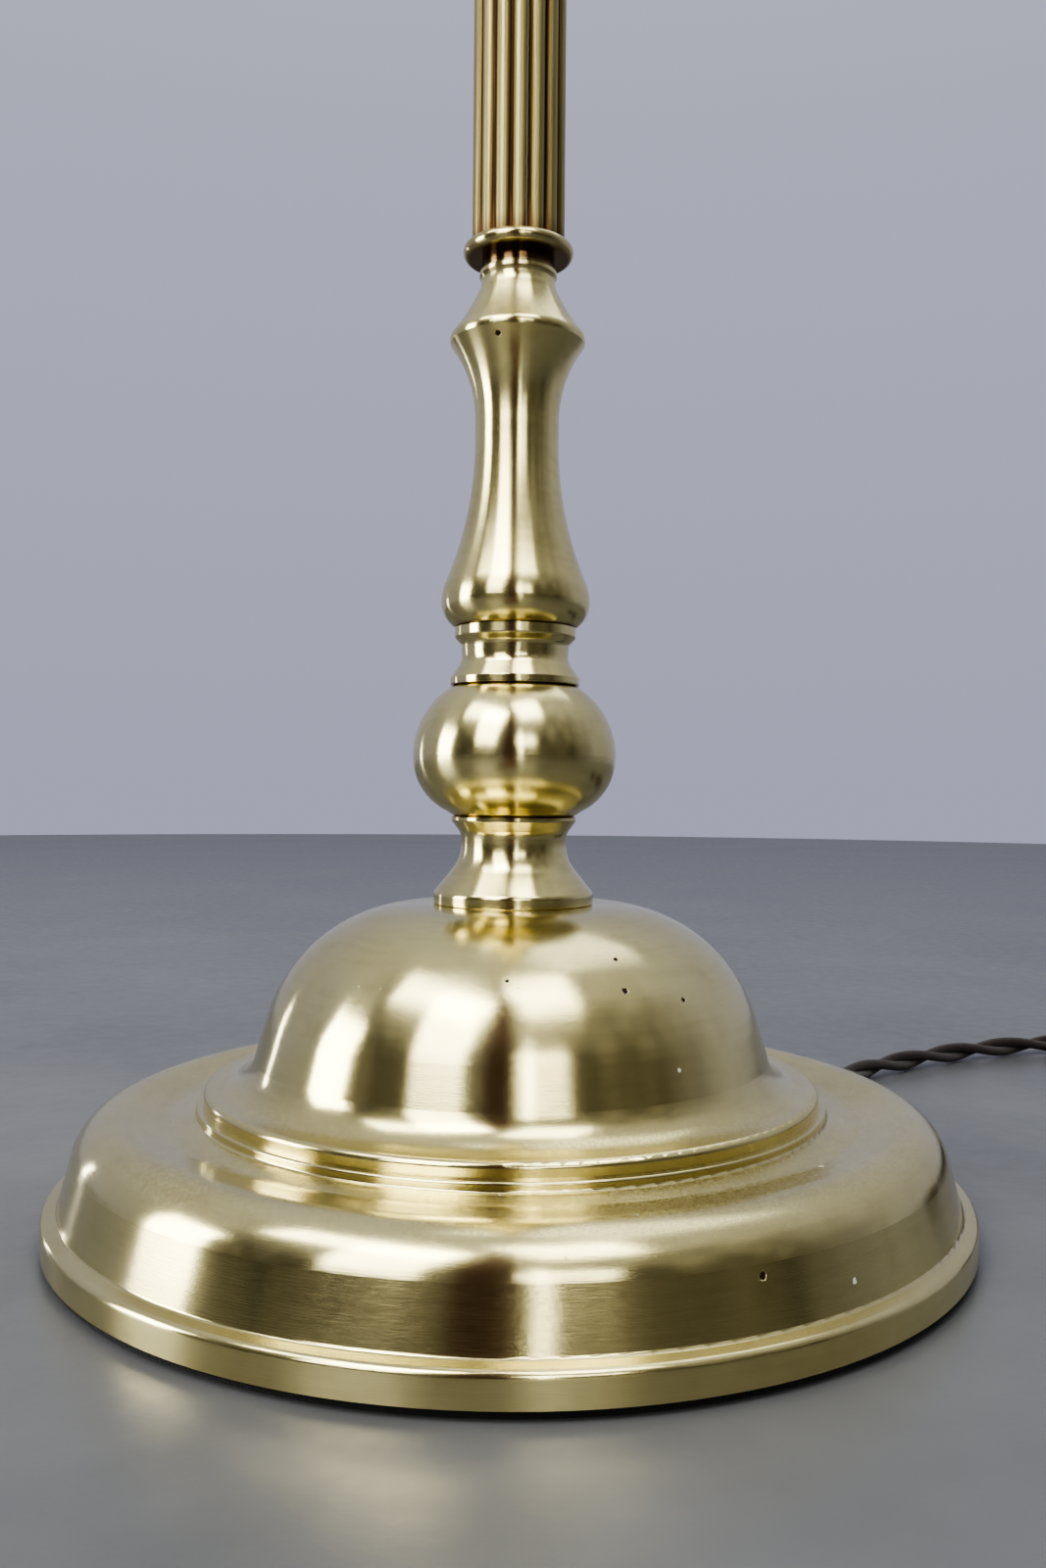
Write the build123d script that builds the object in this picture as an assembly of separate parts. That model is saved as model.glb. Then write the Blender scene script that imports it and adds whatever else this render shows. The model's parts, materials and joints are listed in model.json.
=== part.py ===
"""Brass standard lamp: spun weighted base, turned baluster stem, reeded column and bayonet lampholder.

Millimetres, +Z up, origin on the floor at the centre of the base. The lead leaves the back of the base
to the right, and what is spare of it lies coiled on the floor beside the lamp.
"""
from build123d import *
from math import asin, cos, pi, radians, sin, sqrt, tan
import os

# ---- overall sizes ----
base_radius = 150.0
column_radius = 15.75
column_length = 960.0

# ---- how the base sits on the floor ----
felt_thickness = 4.5
rim_lift = 3.0
felt_inner_radius = 122.0
felt_rim_gap = 1.6

# ---- spun base pan ----
sheet = 1.2
rim_face = 8.5
ledge_width = 4.7
ledge_rise = 1.1
flank_lean = 7.5
flank_top = 38.0
torus_rounding = 14.0
valley_width = 8.7
valley_height = 32.6
step_margin = 2.3
step_height = 34.3
seat_height = 37.0
pan_hole_radius = 62.0

# ---- spun dome ----
lip_radius = 101.5
lip_height = 4.5
dome_root_radius = 88.0
dome_shoulder_radius = 71.2
dome_height = 63.0
dome_root_rounding = 12.0
dome_crown_rounding = 52.0

# ---- tie tube that pulls the whole stack together ----
tie_wall = 1.35
tie_clearance = 0.25
tie_bottom = 46.0
nut_across_flats = 22.0
nut_height = 7.0
washer_radius = 15.0
washer_thickness = 2.0

# ---- cast-iron ballast and the plate under it ----
plate_thickness = 1.5
plate_rim_gap = 0.4
ballast_gap = 5.6
ballast_ring_height = 23.0
ballast_ring_inner_radius = 86.0
ballast_hollow_height = 22.0
ballast_shoulder_gap = 5.6
ballast_boss_radius = 27.0
ballast_boss_foot = 26.0
ballast_boss_cone = 30.0
ballast_recess_radius = 34.0
cord_channel_width = 16.0
cord_channel_clearance = 0.5
cover_screw_circle = 108.0
cover_screw_radius = 2.0
cover_screw_length = 9.0
cover_screw_clearance = 0.3
cover_screw_head_height = 1.6
cover_screw_slot = (0.9, 1.2)
cover_screw_count = 3

# ---- turned stem, from the dome upwards: heights of each piece and its radii ----
foot_flange_radius = 27.0
foot_flange_height = 3.8
foot_waist_radius = 17.6
foot_neck_radius = 21.1
foot_waist_low = 15.5
foot_waist_high = 23.6
foot_cove_rounding = 14.0
foot_neck_rounding = 4.5
foot_neck_band = 1.6
foot_height = 29.6
ball_radius = 34.4
ball_foot_radius = 21.0
ball_under_radius = 22.8
ball_top_radius = 21.3
ball_height = 44.0
ball_widest = 20.1
ball_hollow_low = 15.0
ball_hollow_high = 24.0
ball_under_height = 1.6
spool_foot_radius = 21.9
spool_waist_radius = 18.1
spool_head_radius = 20.6
spool_lip = 2.4
spool_waist_low = 8.4
spool_waist_high = 13.8
spool_head_at = 16.2
spool_height = 19.8
vase_foot_radius = 21.2
vase_shoulder_radius = 25.2
vase_shoulder_at = 8.2
vase_shoulder_rounding = 18.0
vase_waist_radius = 14.25
vase_waist_at = 62.0
vase_waist_length = 8.0
vase_bead_radius = 22.9
vase_bead_at = 96.0
vase_bead_height = 3.2
vase_cone_middle = (18.0, 104.6)
vase_cone_end = (13.4, 113.2)
vase_neck_radius = 12.4
vase_neck_at = 117.2
vase_height = 118.2
turned_wall = 3.0
turned_end = 5.0
neck_ring_radius = 13.1
neck_ring_step = 0.9
neck_ring_bead_height = 1.9
neck_ring_height = 6.1
joint_shadow = 0.35
joint_bevel = 0.8
fine_bevel = 0.6

# ---- collars and reeded column ----
collar_proud = 2.95
collar_thickness = 5.0
register_height = 5.0
register_clearance = 0.1
reed_count = 15
reed_radius = 3.0
reed_valley_rounding = 0.8
reed_turn = 1.5
column_wall = 2.65

# ---- top cup under the lampholder ----
cup_foot_radius = 13.3
cup_radius = 19.5
cup_neck_radius = 13.5
cup_height = 32.0
cup_groove = 2.0
cup_widest = (14.0, 18.5)
cup_neck_at = 25.0
lock_nut_height = 4.0
lock_nut_across_flats = 19.0

# ---- bayonet lampholder ----
holder_wall = 1.2
cap_radius = 17.5
cap_entry_radius = 9.0
cap_entry_height = 5.0
cap_shoulder_height = 6.0
cap_height = 30.0
insulator_clearance = 0.2
insulator_bottom = 15.5
insulator_spigot = 1.5
barrel_bore_radius = 11.3
barrel_wall = 0.8
barrel_foot_step = 0.9
barrel_foot_height = 5.5
barrel_length = 21.0
sleeve_gap = 1.2
sleeve_wall = 0.7
sleeve_length = 18.0
skirt_thickness = 1.4
skirt_drop = 5.0
slot_width = 2.6
slot_depth = 10.0
slot_sweep = 24.0
plunger_offset = 5.6
plunger_radius = 2.2
plunger_clearance = 0.05
plunger_length = 9.0
plunger_stand = 5.0
plunger_seat_height = 1.5
terminal_offset = 11.0
terminal_radius = 2.3
terminal_drop = 2.0
terminal_depth = 6.0
spring_wire = 0.35
spring_turns = 5
spring_side_gap = 0.3
bar_radius = 2.0
bar_clearance = 0.06
bar_height = 20.0
bar_travel = 6.0
bar_button_radius = 3.0
bar_button_length = 4.0
bar_button_gap = 0.5
shade_ring_width = 5.5
shade_ring_height = 5.0
shade_ring_clearance = 0.05
shade_ring_gap = 3.0
shade_ring_lobes = 24
shade_ring_groove = 0.8
shade_ring_lift = 0.6

# ---- lead: two covered cores twisted together ----
cord_radius = 4.7
cord_hole_clearance = 0.3
cord_azimuth = 48.0
cord_exit_height = 21.0
floor_gap = 0.3
bush_wall = 1.2
bush_lip = 1.0
bush_flange = 2.0
bush_clearance = 0.2
relief_root_wall = 1.9
relief_tip_wall = 0.7
relief_length = 20.8
flex_bend_radius = 24.0
clamp_at = 118.0
clamp_bar_width = 9.0
clamp_bar_thickness = 3.0
clamp_bar_length = 34.0
clamp_screw_spacing = 25.0
small_screw_radius = 1.75
small_screw_head_radius = 3.4
small_screw_head_height = 2.0
small_screw_depth = 7.0
earth_tag_side = 24.0
earth_tag_thickness = 0.8

# Where the lead runs from the base to its coil: first in the air, then on the floor.
falling_route = [(127.1, 141.2, 20.5), (152.6, 169.5, 5.4)]
floor_route = [
    (177.0, 198.0),
    (209.0, 222.5),
    (243.0, 243.5),
    (277.0, 258.0),
    (306.0, 265.8),
    (331.0, 270.0),
]

# ---- coil of the spare lead, and the plug ----
coil_inner_turn = 43.0
coil_layer_rise = 8.0
tie_band = 12.0
tie_band_thickness = 0.8
tail_azimuth = -20.0
tail_points = [(0.0, 13.4), (24.0, 15.2), (48.0, 13.6), (78.0, 8.0)]
tail_bow = [0.0, 0.4, 1.2, 1.0]
plug_length = 50.0
plug_width = 50.0
plug_cover_height = 15.0
plug_base_height = 6.0
plug_wall = 2.2
plug_corner = 9.0
plug_shoulder = 0.35
plug_nose = 0.55
plug_post_radius = 4.0
plug_screw_radius = 1.5
plug_screw_head_radius = 1.9
plug_screw_hole_radius = 2.0
pin_spacing = 22.2
earth_pin_inset = 14.0
line_pin_size = (4.0, 6.35, 17.7)
earth_pin_size = (8.0, 4.0, 22.7)
fuse_radius = 3.15
fuse_length = 25.4
pin_depth = 4.0
pin_chamfer = 0.9

# ---- sizes that follow from the ones above ----
step_radius = lip_radius + step_margin
valley_radius = step_radius + valley_width
cord_hole_radius = cord_radius + cord_hole_clearance
tie_bore_radius = cord_radius + cord_hole_clearance
tie_radius = tie_bore_radius + tie_wall
stem_bore = tie_radius + tie_clearance
bush_radius = cord_hole_radius + bush_wall + bush_lip
relief_root_radius = cord_radius + relief_root_wall
relief_tip_radius = cord_radius + relief_tip_wall
ballast_radius = base_radius - ledge_width - flank_lean - sheet - ballast_gap
ballast_shoulder_radius = step_radius - sheet - ballast_shoulder_gap
column_bore_radius = column_radius - column_wall
collar_radius = column_radius + collar_proud
barrel_foot_bore_radius = barrel_bore_radius + barrel_foot_step
sleeve_radius = barrel_bore_radius + barrel_wall + sleeve_gap + sleeve_wall
shade_ring_radius = sleeve_radius + shade_ring_width
cord_floor_height = cord_radius + floor_gap
coil_outer_turn = coil_inner_turn + 4 * cord_radius
coil_layers_height = floor_gap + 2 * cord_radius + coil_layer_rise

# ---- heights up the lamp, each piece standing on the one below ----
pan_bottom = rim_lift
seat_z = pan_bottom + seat_height
dome_top = seat_z + dome_height
ball_z = dome_top + foot_height
spool_z = ball_z + ball_height
vase_z = spool_z + spool_height
neck_z = vase_z + vase_height
collar_z = neck_z + neck_ring_height
column_z = collar_z + collar_thickness
upper_collar_z = column_z + column_length
cup_z = upper_collar_z + collar_thickness
lock_z = cup_z + cup_height
holder_z = lock_z + lock_nut_height
insulator_z = holder_z + insulator_bottom
barrel_z = holder_z + cap_height
plunger_seat = insulator_z + plunger_seat_height
plunger_bottom = barrel_z + plunger_stand - plunger_length
bar_length = 2 * (cap_radius + bar_button_gap + bar_travel / 2 + bar_button_length)
holder_top = barrel_z + barrel_length
shade_ring_z = barrel_z + holder_wall + sleeve_wall + shade_ring_lift
plate_z = felt_thickness
ballast_bottom = plate_z + plate_thickness
washer_face = tie_bottom + nut_height + washer_thickness
clamp_top = cord_exit_height - cord_radius
flank_slope = flank_lean / (flank_top - rim_face - ledge_rise)


def turned(*corners):
    """A piece turned about Z. Each corner is (radius, height) or (radius, height, rounding)."""
    points = [(corner[0], 0, corner[1]) for corner in corners]
    roundings = [corner[2] if len(corner) == 3 else 0 for corner in corners]
    outline = FilletPolyline(*points, radius=roundings, close=True)
    return revolve(make_face(outline), Axis.Z)


def turned_edges(edges):
    """A piece turned about Z from the closed outline that these edges make, in the XZ plane."""
    return revolve(make_face(edges), Axis.Z)


def straight(start, end):
    """An outline's straight stretch between two (radius, height) points."""
    return Line((start[0], 0, start[1]), (end[0], 0, end[1]))


def bend(start, middle, end):
    """An outline's arc through three (radius, height) points."""
    return ThreePointArc(*[(point[0], 0, point[1]) for point in (start, middle, end)])


def tangent_arc(extreme, end):
    """An arc that runs upright at its extreme point and ends at the other point."""
    reach = extreme[0] - end[0]
    rise = end[1] - extreme[1]
    radius = (reach**2 + rise**2) / (2 * abs(reach))
    side = 1 if reach > 0 else -1
    half = asin(abs(rise) / radius) / 2
    centre = extreme[0] - side * radius
    up = 1 if rise > 0 else -1
    middle = (centre + side * radius * cos(half), extreme[1] + up * radius * sin(half))
    return bend(extreme, middle, end)


def ogee(wide, narrow, wide_rounding):
    """Two arcs that turn smoothly from an upright wide point to an upright narrow one."""
    reach = wide[0] - narrow[0]
    rise = narrow[1] - wide[1]
    both = (reach**2 + rise**2) / (2 * reach)
    angle = asin(rise / both)
    centre = wide[0] - wide_rounding
    change = (centre + wide_rounding * cos(angle), wide[1] + wide_rounding * sin(angle))
    return [tangent_arc(wide, change), tangent_arc(narrow, change)]


def rod(radius, bottom, top, bore=0.0, place=(0.0, 0.0)):
    """An upright round bar or tube."""
    middle = Pos(place[0], place[1], (bottom + top) / 2)
    solid = middle * Cylinder(radius, top - bottom)
    if bore > 0:
        solid -= middle * Cylinder(bore, top - bottom)
    return solid


def hexagon_nut(across_flats, bottom, height, bore):
    """A hexagon nut about the Z axis with a plain bore."""
    profile = RegularPolygon(across_flats / 2, 6, major_radius=False) - Circle(bore)
    return Pos(0, 0, bottom) * extrude(profile, height)


def along_cord(distance, height, side=0.0):
    """A point at this distance from the axis in the lead's direction, and this far to its left."""
    angle = radians(cord_azimuth)
    x = distance * cos(angle) - side * sin(angle)
    y = distance * sin(angle) + side * cos(angle)
    return (x, y, height)


def cord_plane(distance, height):
    """The plane square to the lead where it leaves the base."""
    return Plane(origin=along_cord(distance, height), x_dir=(0, 0, 1), z_dir=along_cord(1, 0))


def barrel_along_cord(radius, start, end, height, bore=0.0):
    """A round piece that lies along the lead where it leaves the base."""
    profile = Circle(radius)
    if bore > 0:
        profile -= Circle(bore)
    return extrude(cord_plane(start, height) * profile, end - start)


# ---- base ----

def flank_radius_at(height):
    """The outside radius of the pan's flank at a height above the floor."""
    ledge_z = pan_bottom + rim_face + ledge_rise
    return base_radius - ledge_width - flank_slope * (height - ledge_z)


def pan_outline(inset):
    """The pan's outside, or its inside when moved in by the sheet, as corners with roundings."""
    ledge_radius = base_radius - ledge_width
    z = pan_bottom - inset
    return [
        (base_radius - inset, pan_bottom),
        (base_radius - inset, z + rim_face, max(2.0 - inset, 0.5)),
        (ledge_radius - inset, z + rim_face + ledge_rise, 1.0 + inset),
        (ledge_radius - flank_lean - inset, z + flank_top, torus_rounding - inset),
        (valley_radius, z + valley_height, 9.0 + inset),
        (step_radius - inset, z + step_height, 0.8 + inset),
        (step_radius - inset, z + seat_height, max(0.8 - inset, 0.3)),
        (pan_hole_radius, z + seat_height),
    ]


def sheet_piece(outline):
    """A spun shell one sheet thick between an outline and the same outline moved in."""
    return turned(*outline(0), *reversed(outline(sheet)))


def base_pan():
    radius = cord_hole_radius + bush_wall + bush_clearance
    hole = barrel_along_cord(radius, ballast_radius, base_radius, cord_exit_height)
    return sheet_piece(pan_outline) - hole


def dome_outline(inset):
    """The dome's outside, or its inside when moved in by the sheet."""
    lean = (dome_root_radius - dome_shoulder_radius) / (dome_height - lip_height)
    return [
        (lip_radius - inset, seat_z),
        (lip_radius - inset, seat_z + lip_height - inset, max(1.8 - inset, 0.4)),
        (dome_root_radius - inset * (1 - lean), seat_z + lip_height - inset, dome_root_rounding + inset),
        (dome_shoulder_radius - inset * (1 - lean), dome_top - inset, dome_crown_rounding - inset),
        (stem_bore, dome_top - inset),
    ]


def base_dome():
    return sheet_piece(dome_outline)


def foot_felt():
    outer = base_radius - sheet - felt_rim_gap
    return rod(outer, 0, felt_thickness, felt_inner_radius)


def cover_screw_places():
    """Where the screws that hold the bottom plate stand."""
    for index in range(cover_screw_count):
        angle = radians(360 / cover_screw_count * index + cord_azimuth + 60)
        yield (cover_screw_circle * cos(angle), cover_screw_circle * sin(angle))


def base_cover_plate():
    plate = rod(base_radius - sheet - plate_rim_gap, plate_z, plate_z + plate_thickness)
    for place in cover_screw_places():
        plate -= rod(cover_screw_radius + cover_screw_clearance, 0, ballast_bottom + 1, place=place)
    return plate


def cover_screws():
    group = []
    for place in cover_screw_places():
        top = plate_z + plate_thickness + cover_screw_length
        screw = rod(cover_screw_radius, plate_z, top, place=place)
        face = plate_z - cover_screw_head_height
        head = rod(cover_screw_radius * 2, face, plate_z, place=place)
        slot = Pos(place[0], place[1], face) * Box(6 * cover_screw_radius, *cover_screw_slot)
        group.append(screw + head - slot)
    return group


def ballast_weight():
    """The cast weight: a disc in the pan, a shoulder under the pan's seat and a boss under the dome."""
    bottom = ballast_bottom
    shoulder = seat_z - sheet
    top = dome_top - sheet
    casting = turned(
        (stem_bore, washer_face),
        (ballast_recess_radius, washer_face, 2.0),
        (ballast_recess_radius, bottom + ballast_hollow_height, 3.0),
        (ballast_ring_inner_radius, bottom + ballast_hollow_height, 5.0),
        (ballast_ring_inner_radius, bottom),
        (ballast_radius, bottom, 1.0),
        (ballast_radius, bottom + ballast_ring_height, 2.0),
        (ballast_shoulder_radius, bottom + ballast_ring_height, 3.0),
        (ballast_shoulder_radius, shoulder, 1.5),
        (ballast_boss_radius + ballast_boss_foot, shoulder, 4.0),
        (ballast_boss_radius, shoulder + ballast_boss_cone, 10.0),
        (ballast_boss_radius, top, 1.5),
        (stem_bore, top),
    )
    channel_top = cord_exit_height + cord_radius + cord_channel_clearance
    middle = (bottom + channel_top) / 2
    channel = cord_plane(ballast_recess_radius, middle) * Rectangle(channel_top - bottom, cord_channel_width)
    casting -= extrude(channel, ballast_radius)
    pocket = cord_plane(clamp_at - clamp_bar_width / 2 - 0.5, (bottom + clamp_top) / 2)
    pocket *= Rectangle(clamp_top - bottom, clamp_bar_length + 1)
    casting -= extrude(pocket, clamp_bar_width + 1)
    for place in cover_screw_places():
        casting -= rod(cover_screw_radius, 0, bottom + cover_screw_length + 1, place=place)
    for place in clamp_screw_places():
        casting -= rod(small_screw_radius, clamp_top, clamp_top + small_screw_depth + 1, place=place)
    casting -= rod(small_screw_radius, washer_face - 1, washer_face + small_screw_depth, place=earth_place)
    return casting


def base_washer():
    bottom = tie_bottom + nut_height
    return rod(washer_radius, bottom, bottom + washer_thickness, stem_bore)


def base_nut():
    return hexagon_nut(nut_across_flats, tie_bottom, nut_height, tie_radius)


def tie_tube():
    return rod(tie_radius, tie_bottom - 3, holder_z + cap_entry_height + holder_wall, tie_bore_radius)


# ---- lead's fittings in the base ----

earth_place = along_cord(0, 0, earth_tag_side)[:2]


def clamp_screw_places():
    """Where the cord clamp's two screws stand, one each side of the channel."""
    for side in (-clamp_screw_spacing / 2, clamp_screw_spacing / 2):
        yield along_cord(clamp_at, 0, side)[:2]


def cord_bush():
    """The insulating bush that lines the pan's hole, flanged inside and out."""
    height = cord_exit_height
    face = flank_radius_at(height)
    lean = flank_slope * bush_radius + bush_clearance
    inside = face - 1.1 * sheet - lean - bush_clearance
    sleeve = barrel_along_cord(cord_hole_radius + bush_wall, inside - bush_flange, bush_face(), height)
    flange = barrel_along_cord(bush_radius, face + lean, bush_face(), height)
    nut = barrel_along_cord(bush_radius, inside - bush_flange, inside, height)
    bore = barrel_along_cord(cord_hole_radius, inside - 2 * bush_flange, bush_face() + 1, height)
    return sleeve + flange + nut - bore


def bush_face():
    """How far from the axis the bush's outer face stands."""
    return flank_radius_at(cord_exit_height) + flank_slope * bush_radius + bush_clearance + bush_flange


def relief_tip():
    """How far from the axis the relief ends and the free lead begins."""
    return bush_face() + relief_length


def cord_relief():
    """The tapered sleeve that keeps the lead from kinking where it leaves the bush."""
    root = bush_face()
    plane = cord_plane(root, cord_exit_height)
    tip = plane.offset(relief_length)
    cone = loft([plane * Circle(relief_root_radius), tip * Circle(relief_tip_radius)])
    bore = barrel_along_cord(cord_radius, root - 1, relief_tip() + 1, cord_exit_height)
    return cone - bore


def cord_clamp():
    """The fibre bar across the channel that takes the pull off the terminals."""
    plane = cord_plane(clamp_at - clamp_bar_width / 2, clamp_top - clamp_bar_thickness / 2)
    bar = extrude(plane * Rectangle(clamp_bar_thickness, clamp_bar_length), clamp_bar_width)
    for place in clamp_screw_places():
        bar -= rod(small_screw_radius, ballast_bottom, clamp_top + 1, place=place)
    return bar


def small_screw(place, face, grip):
    """A cheese-head screw driven up through a piece that lies against a face."""
    under = face - grip
    screw = rod(small_screw_radius, under, face + small_screw_depth, place=place)
    return screw + rod(small_screw_head_radius, under - small_screw_head_height, under, place=place)


def clamp_screws():
    return [small_screw(place, clamp_top, clamp_bar_thickness) for place in clamp_screw_places()]


def route_points():
    on_floor = [(x, y, cord_floor_height) for x, y in floor_route]
    return [along_cord(relief_tip(), cord_exit_height), *falling_route, *on_floor]


def smooth_path(points):
    """Straight runs joined by the largest even arcs that their lengths allow."""
    vectors = [Vector(*point) for point in points]
    runs = [b - a for a, b in zip(vectors, vectors[1:])]
    radii = []
    for before, after in zip(runs, runs[1:]):
        half_turn = radians(before.get_angle(after)) / 2
        radii.append(0.45 * min(before.length, after.length) / tan(half_turn))
    print("runs", [round(run.length, 1) for run in runs], "radii", [round(radius) for radius in radii])
    return FilletPolyline(*points, radius=radii)


def tube_along(path, radius):
    """A round solid along a path, with a check of its volume against its length."""
    start = Plane(origin=path @ 0, z_dir=path % 0)
    solid = sweep(start * Circle(radius), path)
    expected = pi * radius**2 * path.length
    print("length", round(path.length, 1), "volume share", round(solid.volume / expected, 4))
    return solid


def inner_flex():
    """The lead inside the lamp, from the bush to the lampholder's terminals."""
    start = along_cord(relief_tip(), cord_exit_height)
    corner = (0, 0, cord_exit_height)
    top = (0, 0, insulator_z - 2.5)
    path = FilletPolyline(start, corner, top, radius=[flex_bend_radius])
    return tube_along(path, cord_radius)


def earth_tag():
    """The ring tag that ties the metalwork to the earth core."""
    bore = small_screw_radius + 0.2
    return rod(4.0, washer_face - earth_tag_thickness, washer_face, bore, earth_place)


def earth_screw():
    return small_screw(earth_place, washer_face, earth_tag_thickness)


# ---- turned stem ----

def foot_spool():
    z = dome_top
    return turned(
        (stem_bore, z),
        (foot_flange_radius, z, 0.4),
        (foot_flange_radius, z + foot_flange_height, 2.2),
        (foot_waist_radius - 0.1, z + foot_waist_low, foot_cove_rounding),
        (foot_waist_radius + 0.3, z + foot_waist_high, foot_neck_rounding),
        (foot_neck_radius, z + foot_height - foot_neck_band, 0.8),
        (foot_neck_radius, z + foot_height - joint_shadow),
        (foot_neck_radius - joint_bevel, z + foot_height),
        (stem_bore, z + foot_height),
    )


def ball_knop():
    z = ball_z
    widest = (ball_radius, z + ball_widest)
    under = (ball_under_radius, z + ball_under_height)
    crown = (ball_top_radius, z + ball_height - joint_shadow)
    edges = [
        straight((stem_bore, z), (ball_foot_radius - joint_bevel, z)),
        straight((ball_foot_radius - joint_bevel, z), (ball_foot_radius, z + joint_shadow)),
        straight((ball_foot_radius, z + joint_shadow), under),
        tangent_arc(widest, under),
        tangent_arc(widest, crown),
        straight(crown, (ball_top_radius - fine_bevel, z + ball_height)),
        straight((ball_top_radius - fine_bevel, z + ball_height), (stem_bore, z + ball_height)),
        straight((stem_bore, z + ball_height), (stem_bore, z)),
    ]
    hollow = turned(
        (stem_bore, z + turned_end),
        (ball_under_radius - turned_end, z + turned_end, 3.0),
        (ball_radius - turned_wall, z + ball_hollow_low, 5.0),
        (ball_radius - turned_wall, z + ball_hollow_high, 8.0),
        (ball_top_radius - turned_wall, z + ball_height - turned_end, 3.0),
        (stem_bore, z + ball_height - turned_end),
    )
    return turned_edges(edges) - hollow


def waist_spool():
    z = spool_z
    return turned(
        (stem_bore, z),
        (spool_foot_radius, z, 0.3),
        (spool_foot_radius, z + spool_lip, 0.6),
        (spool_waist_radius - 0.1, z + spool_waist_low, 5.0),
        (spool_waist_radius + 0.2, z + spool_waist_high, 2.5),
        (spool_head_radius, z + spool_head_at, 1.0),
        (spool_head_radius, z + spool_height - joint_shadow),
        (spool_head_radius - fine_bevel, z + spool_height),
        (stem_bore, z + spool_height),
    )


def vase_stem():
    z = vase_z
    top = z + vase_height
    foot = (vase_foot_radius, z + joint_shadow)
    shoulder = (vase_shoulder_radius, z + vase_shoulder_at)
    waist_low = (vase_waist_radius, z + vase_waist_at)
    waist_high = (vase_waist_radius, z + vase_waist_at + vase_waist_length)
    bead_low = (vase_bead_radius - 0.2, z + vase_bead_at - 0.4)
    bead_middle = (vase_bead_radius, z + vase_bead_at + 0.8)
    bead_high = (vase_bead_radius - 1.0, z + vase_bead_at + vase_bead_height)
    cone_middle = (vase_cone_middle[0], z + vase_cone_middle[1])
    cone_end = (vase_cone_end[0], z + vase_cone_end[1])
    neck = (vase_neck_radius, z + vase_neck_at)
    edges = [
        straight((stem_bore, z), (vase_foot_radius - fine_bevel, z)),
        straight((vase_foot_radius - fine_bevel, z), foot),
        tangent_arc(shoulder, foot),
        *ogee(shoulder, waist_low, vase_shoulder_rounding),
        straight(waist_low, waist_high),
        tangent_arc(waist_high, bead_low),
        bend(bead_low, bead_middle, bead_high),
        bend(bead_high, cone_middle, cone_end),
        tangent_arc(neck, cone_end),
        straight(neck, (vase_neck_radius + fine_bevel, top)),
        straight((vase_neck_radius + fine_bevel, top), (stem_bore, top)),
        straight((stem_bore, top), (stem_bore, z)),
    ]
    hollow = turned(
        (stem_bore, z + 6),
        (vase_shoulder_radius - turned_wall, z + 6, 2.0),
        (vase_shoulder_radius - turned_wall, z + 14, 3.0),
        (vase_waist_radius - turned_wall, z + 48, 20.0),
        (vase_waist_radius - turned_wall, z + 88, 5.0),
        (stem_bore, z + 94),
    )
    return turned_edges(edges) - hollow


def neck_ring():
    z = neck_z
    return turned(
        (stem_bore, z),
        (neck_ring_radius, z, 0.3),
        (neck_ring_radius, z + neck_ring_bead_height, 0.4),
        (neck_ring_radius - neck_ring_step, z + neck_ring_bead_height + 0.3),
        (neck_ring_radius - neck_ring_step, z + neck_ring_height),
        (stem_bore, z + neck_ring_height),
    )


def collar(z, register_above):
    """A bead ring that closes the column's end, with a register that centres the tube on it."""
    half = collar_thickness / 2
    rim = collar_radius - half
    register = column_bore_radius - register_clearance
    edges = [
        straight((stem_bore, z), (rim, z)),
        bend((rim, z), (collar_radius, z + half), (rim, z + collar_thickness)),
        straight((rim, z + collar_thickness), (stem_bore, z + collar_thickness)),
        straight((stem_bore, z + collar_thickness), (stem_bore, z)),
    ]
    ring = turned_edges(edges)
    if register_above:
        return ring + rod(register, z + half, z + collar_thickness + register_height, stem_bore)
    return ring + rod(register, z - register_height, z + half, stem_bore)


def lower_collar():
    return collar(collar_z, True)


def upper_collar():
    return collar(upper_collar_z, False)


def reeded_column():
    """The drawn tube: rounded reeds side by side, with small roundings between them."""
    pitch_radius = column_radius - reed_radius
    half_pitch = radians(180 / reed_count)
    across = pitch_radius * sin(half_pitch)
    valley = pitch_radius * cos(half_pitch) + sqrt(reed_radius**2 - across**2)
    section = Circle(valley)
    for index in range(reed_count):
        angle = 360 / reed_count * index - 90 + reed_turn
        section += Rot(0, 0, angle) * Pos(pitch_radius, 0) * Circle(reed_radius)
    corners = [v for v in section.vertices() if abs(Vector(v).length - valley) < 0.2]
    section = fillet(corners, reed_valley_rounding)
    section -= Circle(column_bore_radius)
    return Pos(0, 0, column_z) * extrude(section, column_length)


def top_cup():
    z = cup_z
    return turned(
        (stem_bore, z),
        (cup_foot_radius, z, 0.3),
        (cup_foot_radius, z + 3.0, 1.0),
        (cup_foot_radius - cup_groove, z + 4.0, 1.0),
        (cup_radius, z + cup_widest[0], 5.0),
        (cup_radius, z + cup_widest[1], 1.5),
        (cup_neck_radius, z + cup_neck_at, 4.0),
        (cup_neck_radius, z + cup_height, 0.6),
        (stem_bore, z + cup_height),
    )


def lock_nut():
    return hexagon_nut(lock_nut_across_flats, lock_z, lock_nut_height, tie_radius)


# ---- lampholder ----

def cap_outline(inset):
    z = holder_z
    shoulder = z + cap_entry_height + cap_shoulder_height
    return [
        (tie_radius, z + cap_entry_height + (holder_wall if inset else 0)),
        (cap_entry_radius - inset, z + cap_entry_height + (holder_wall if inset else 0)),
        (cap_radius - inset, shoulder + inset / 2, 4.0),
        (cap_radius - inset, z + cap_height),
    ]


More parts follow.
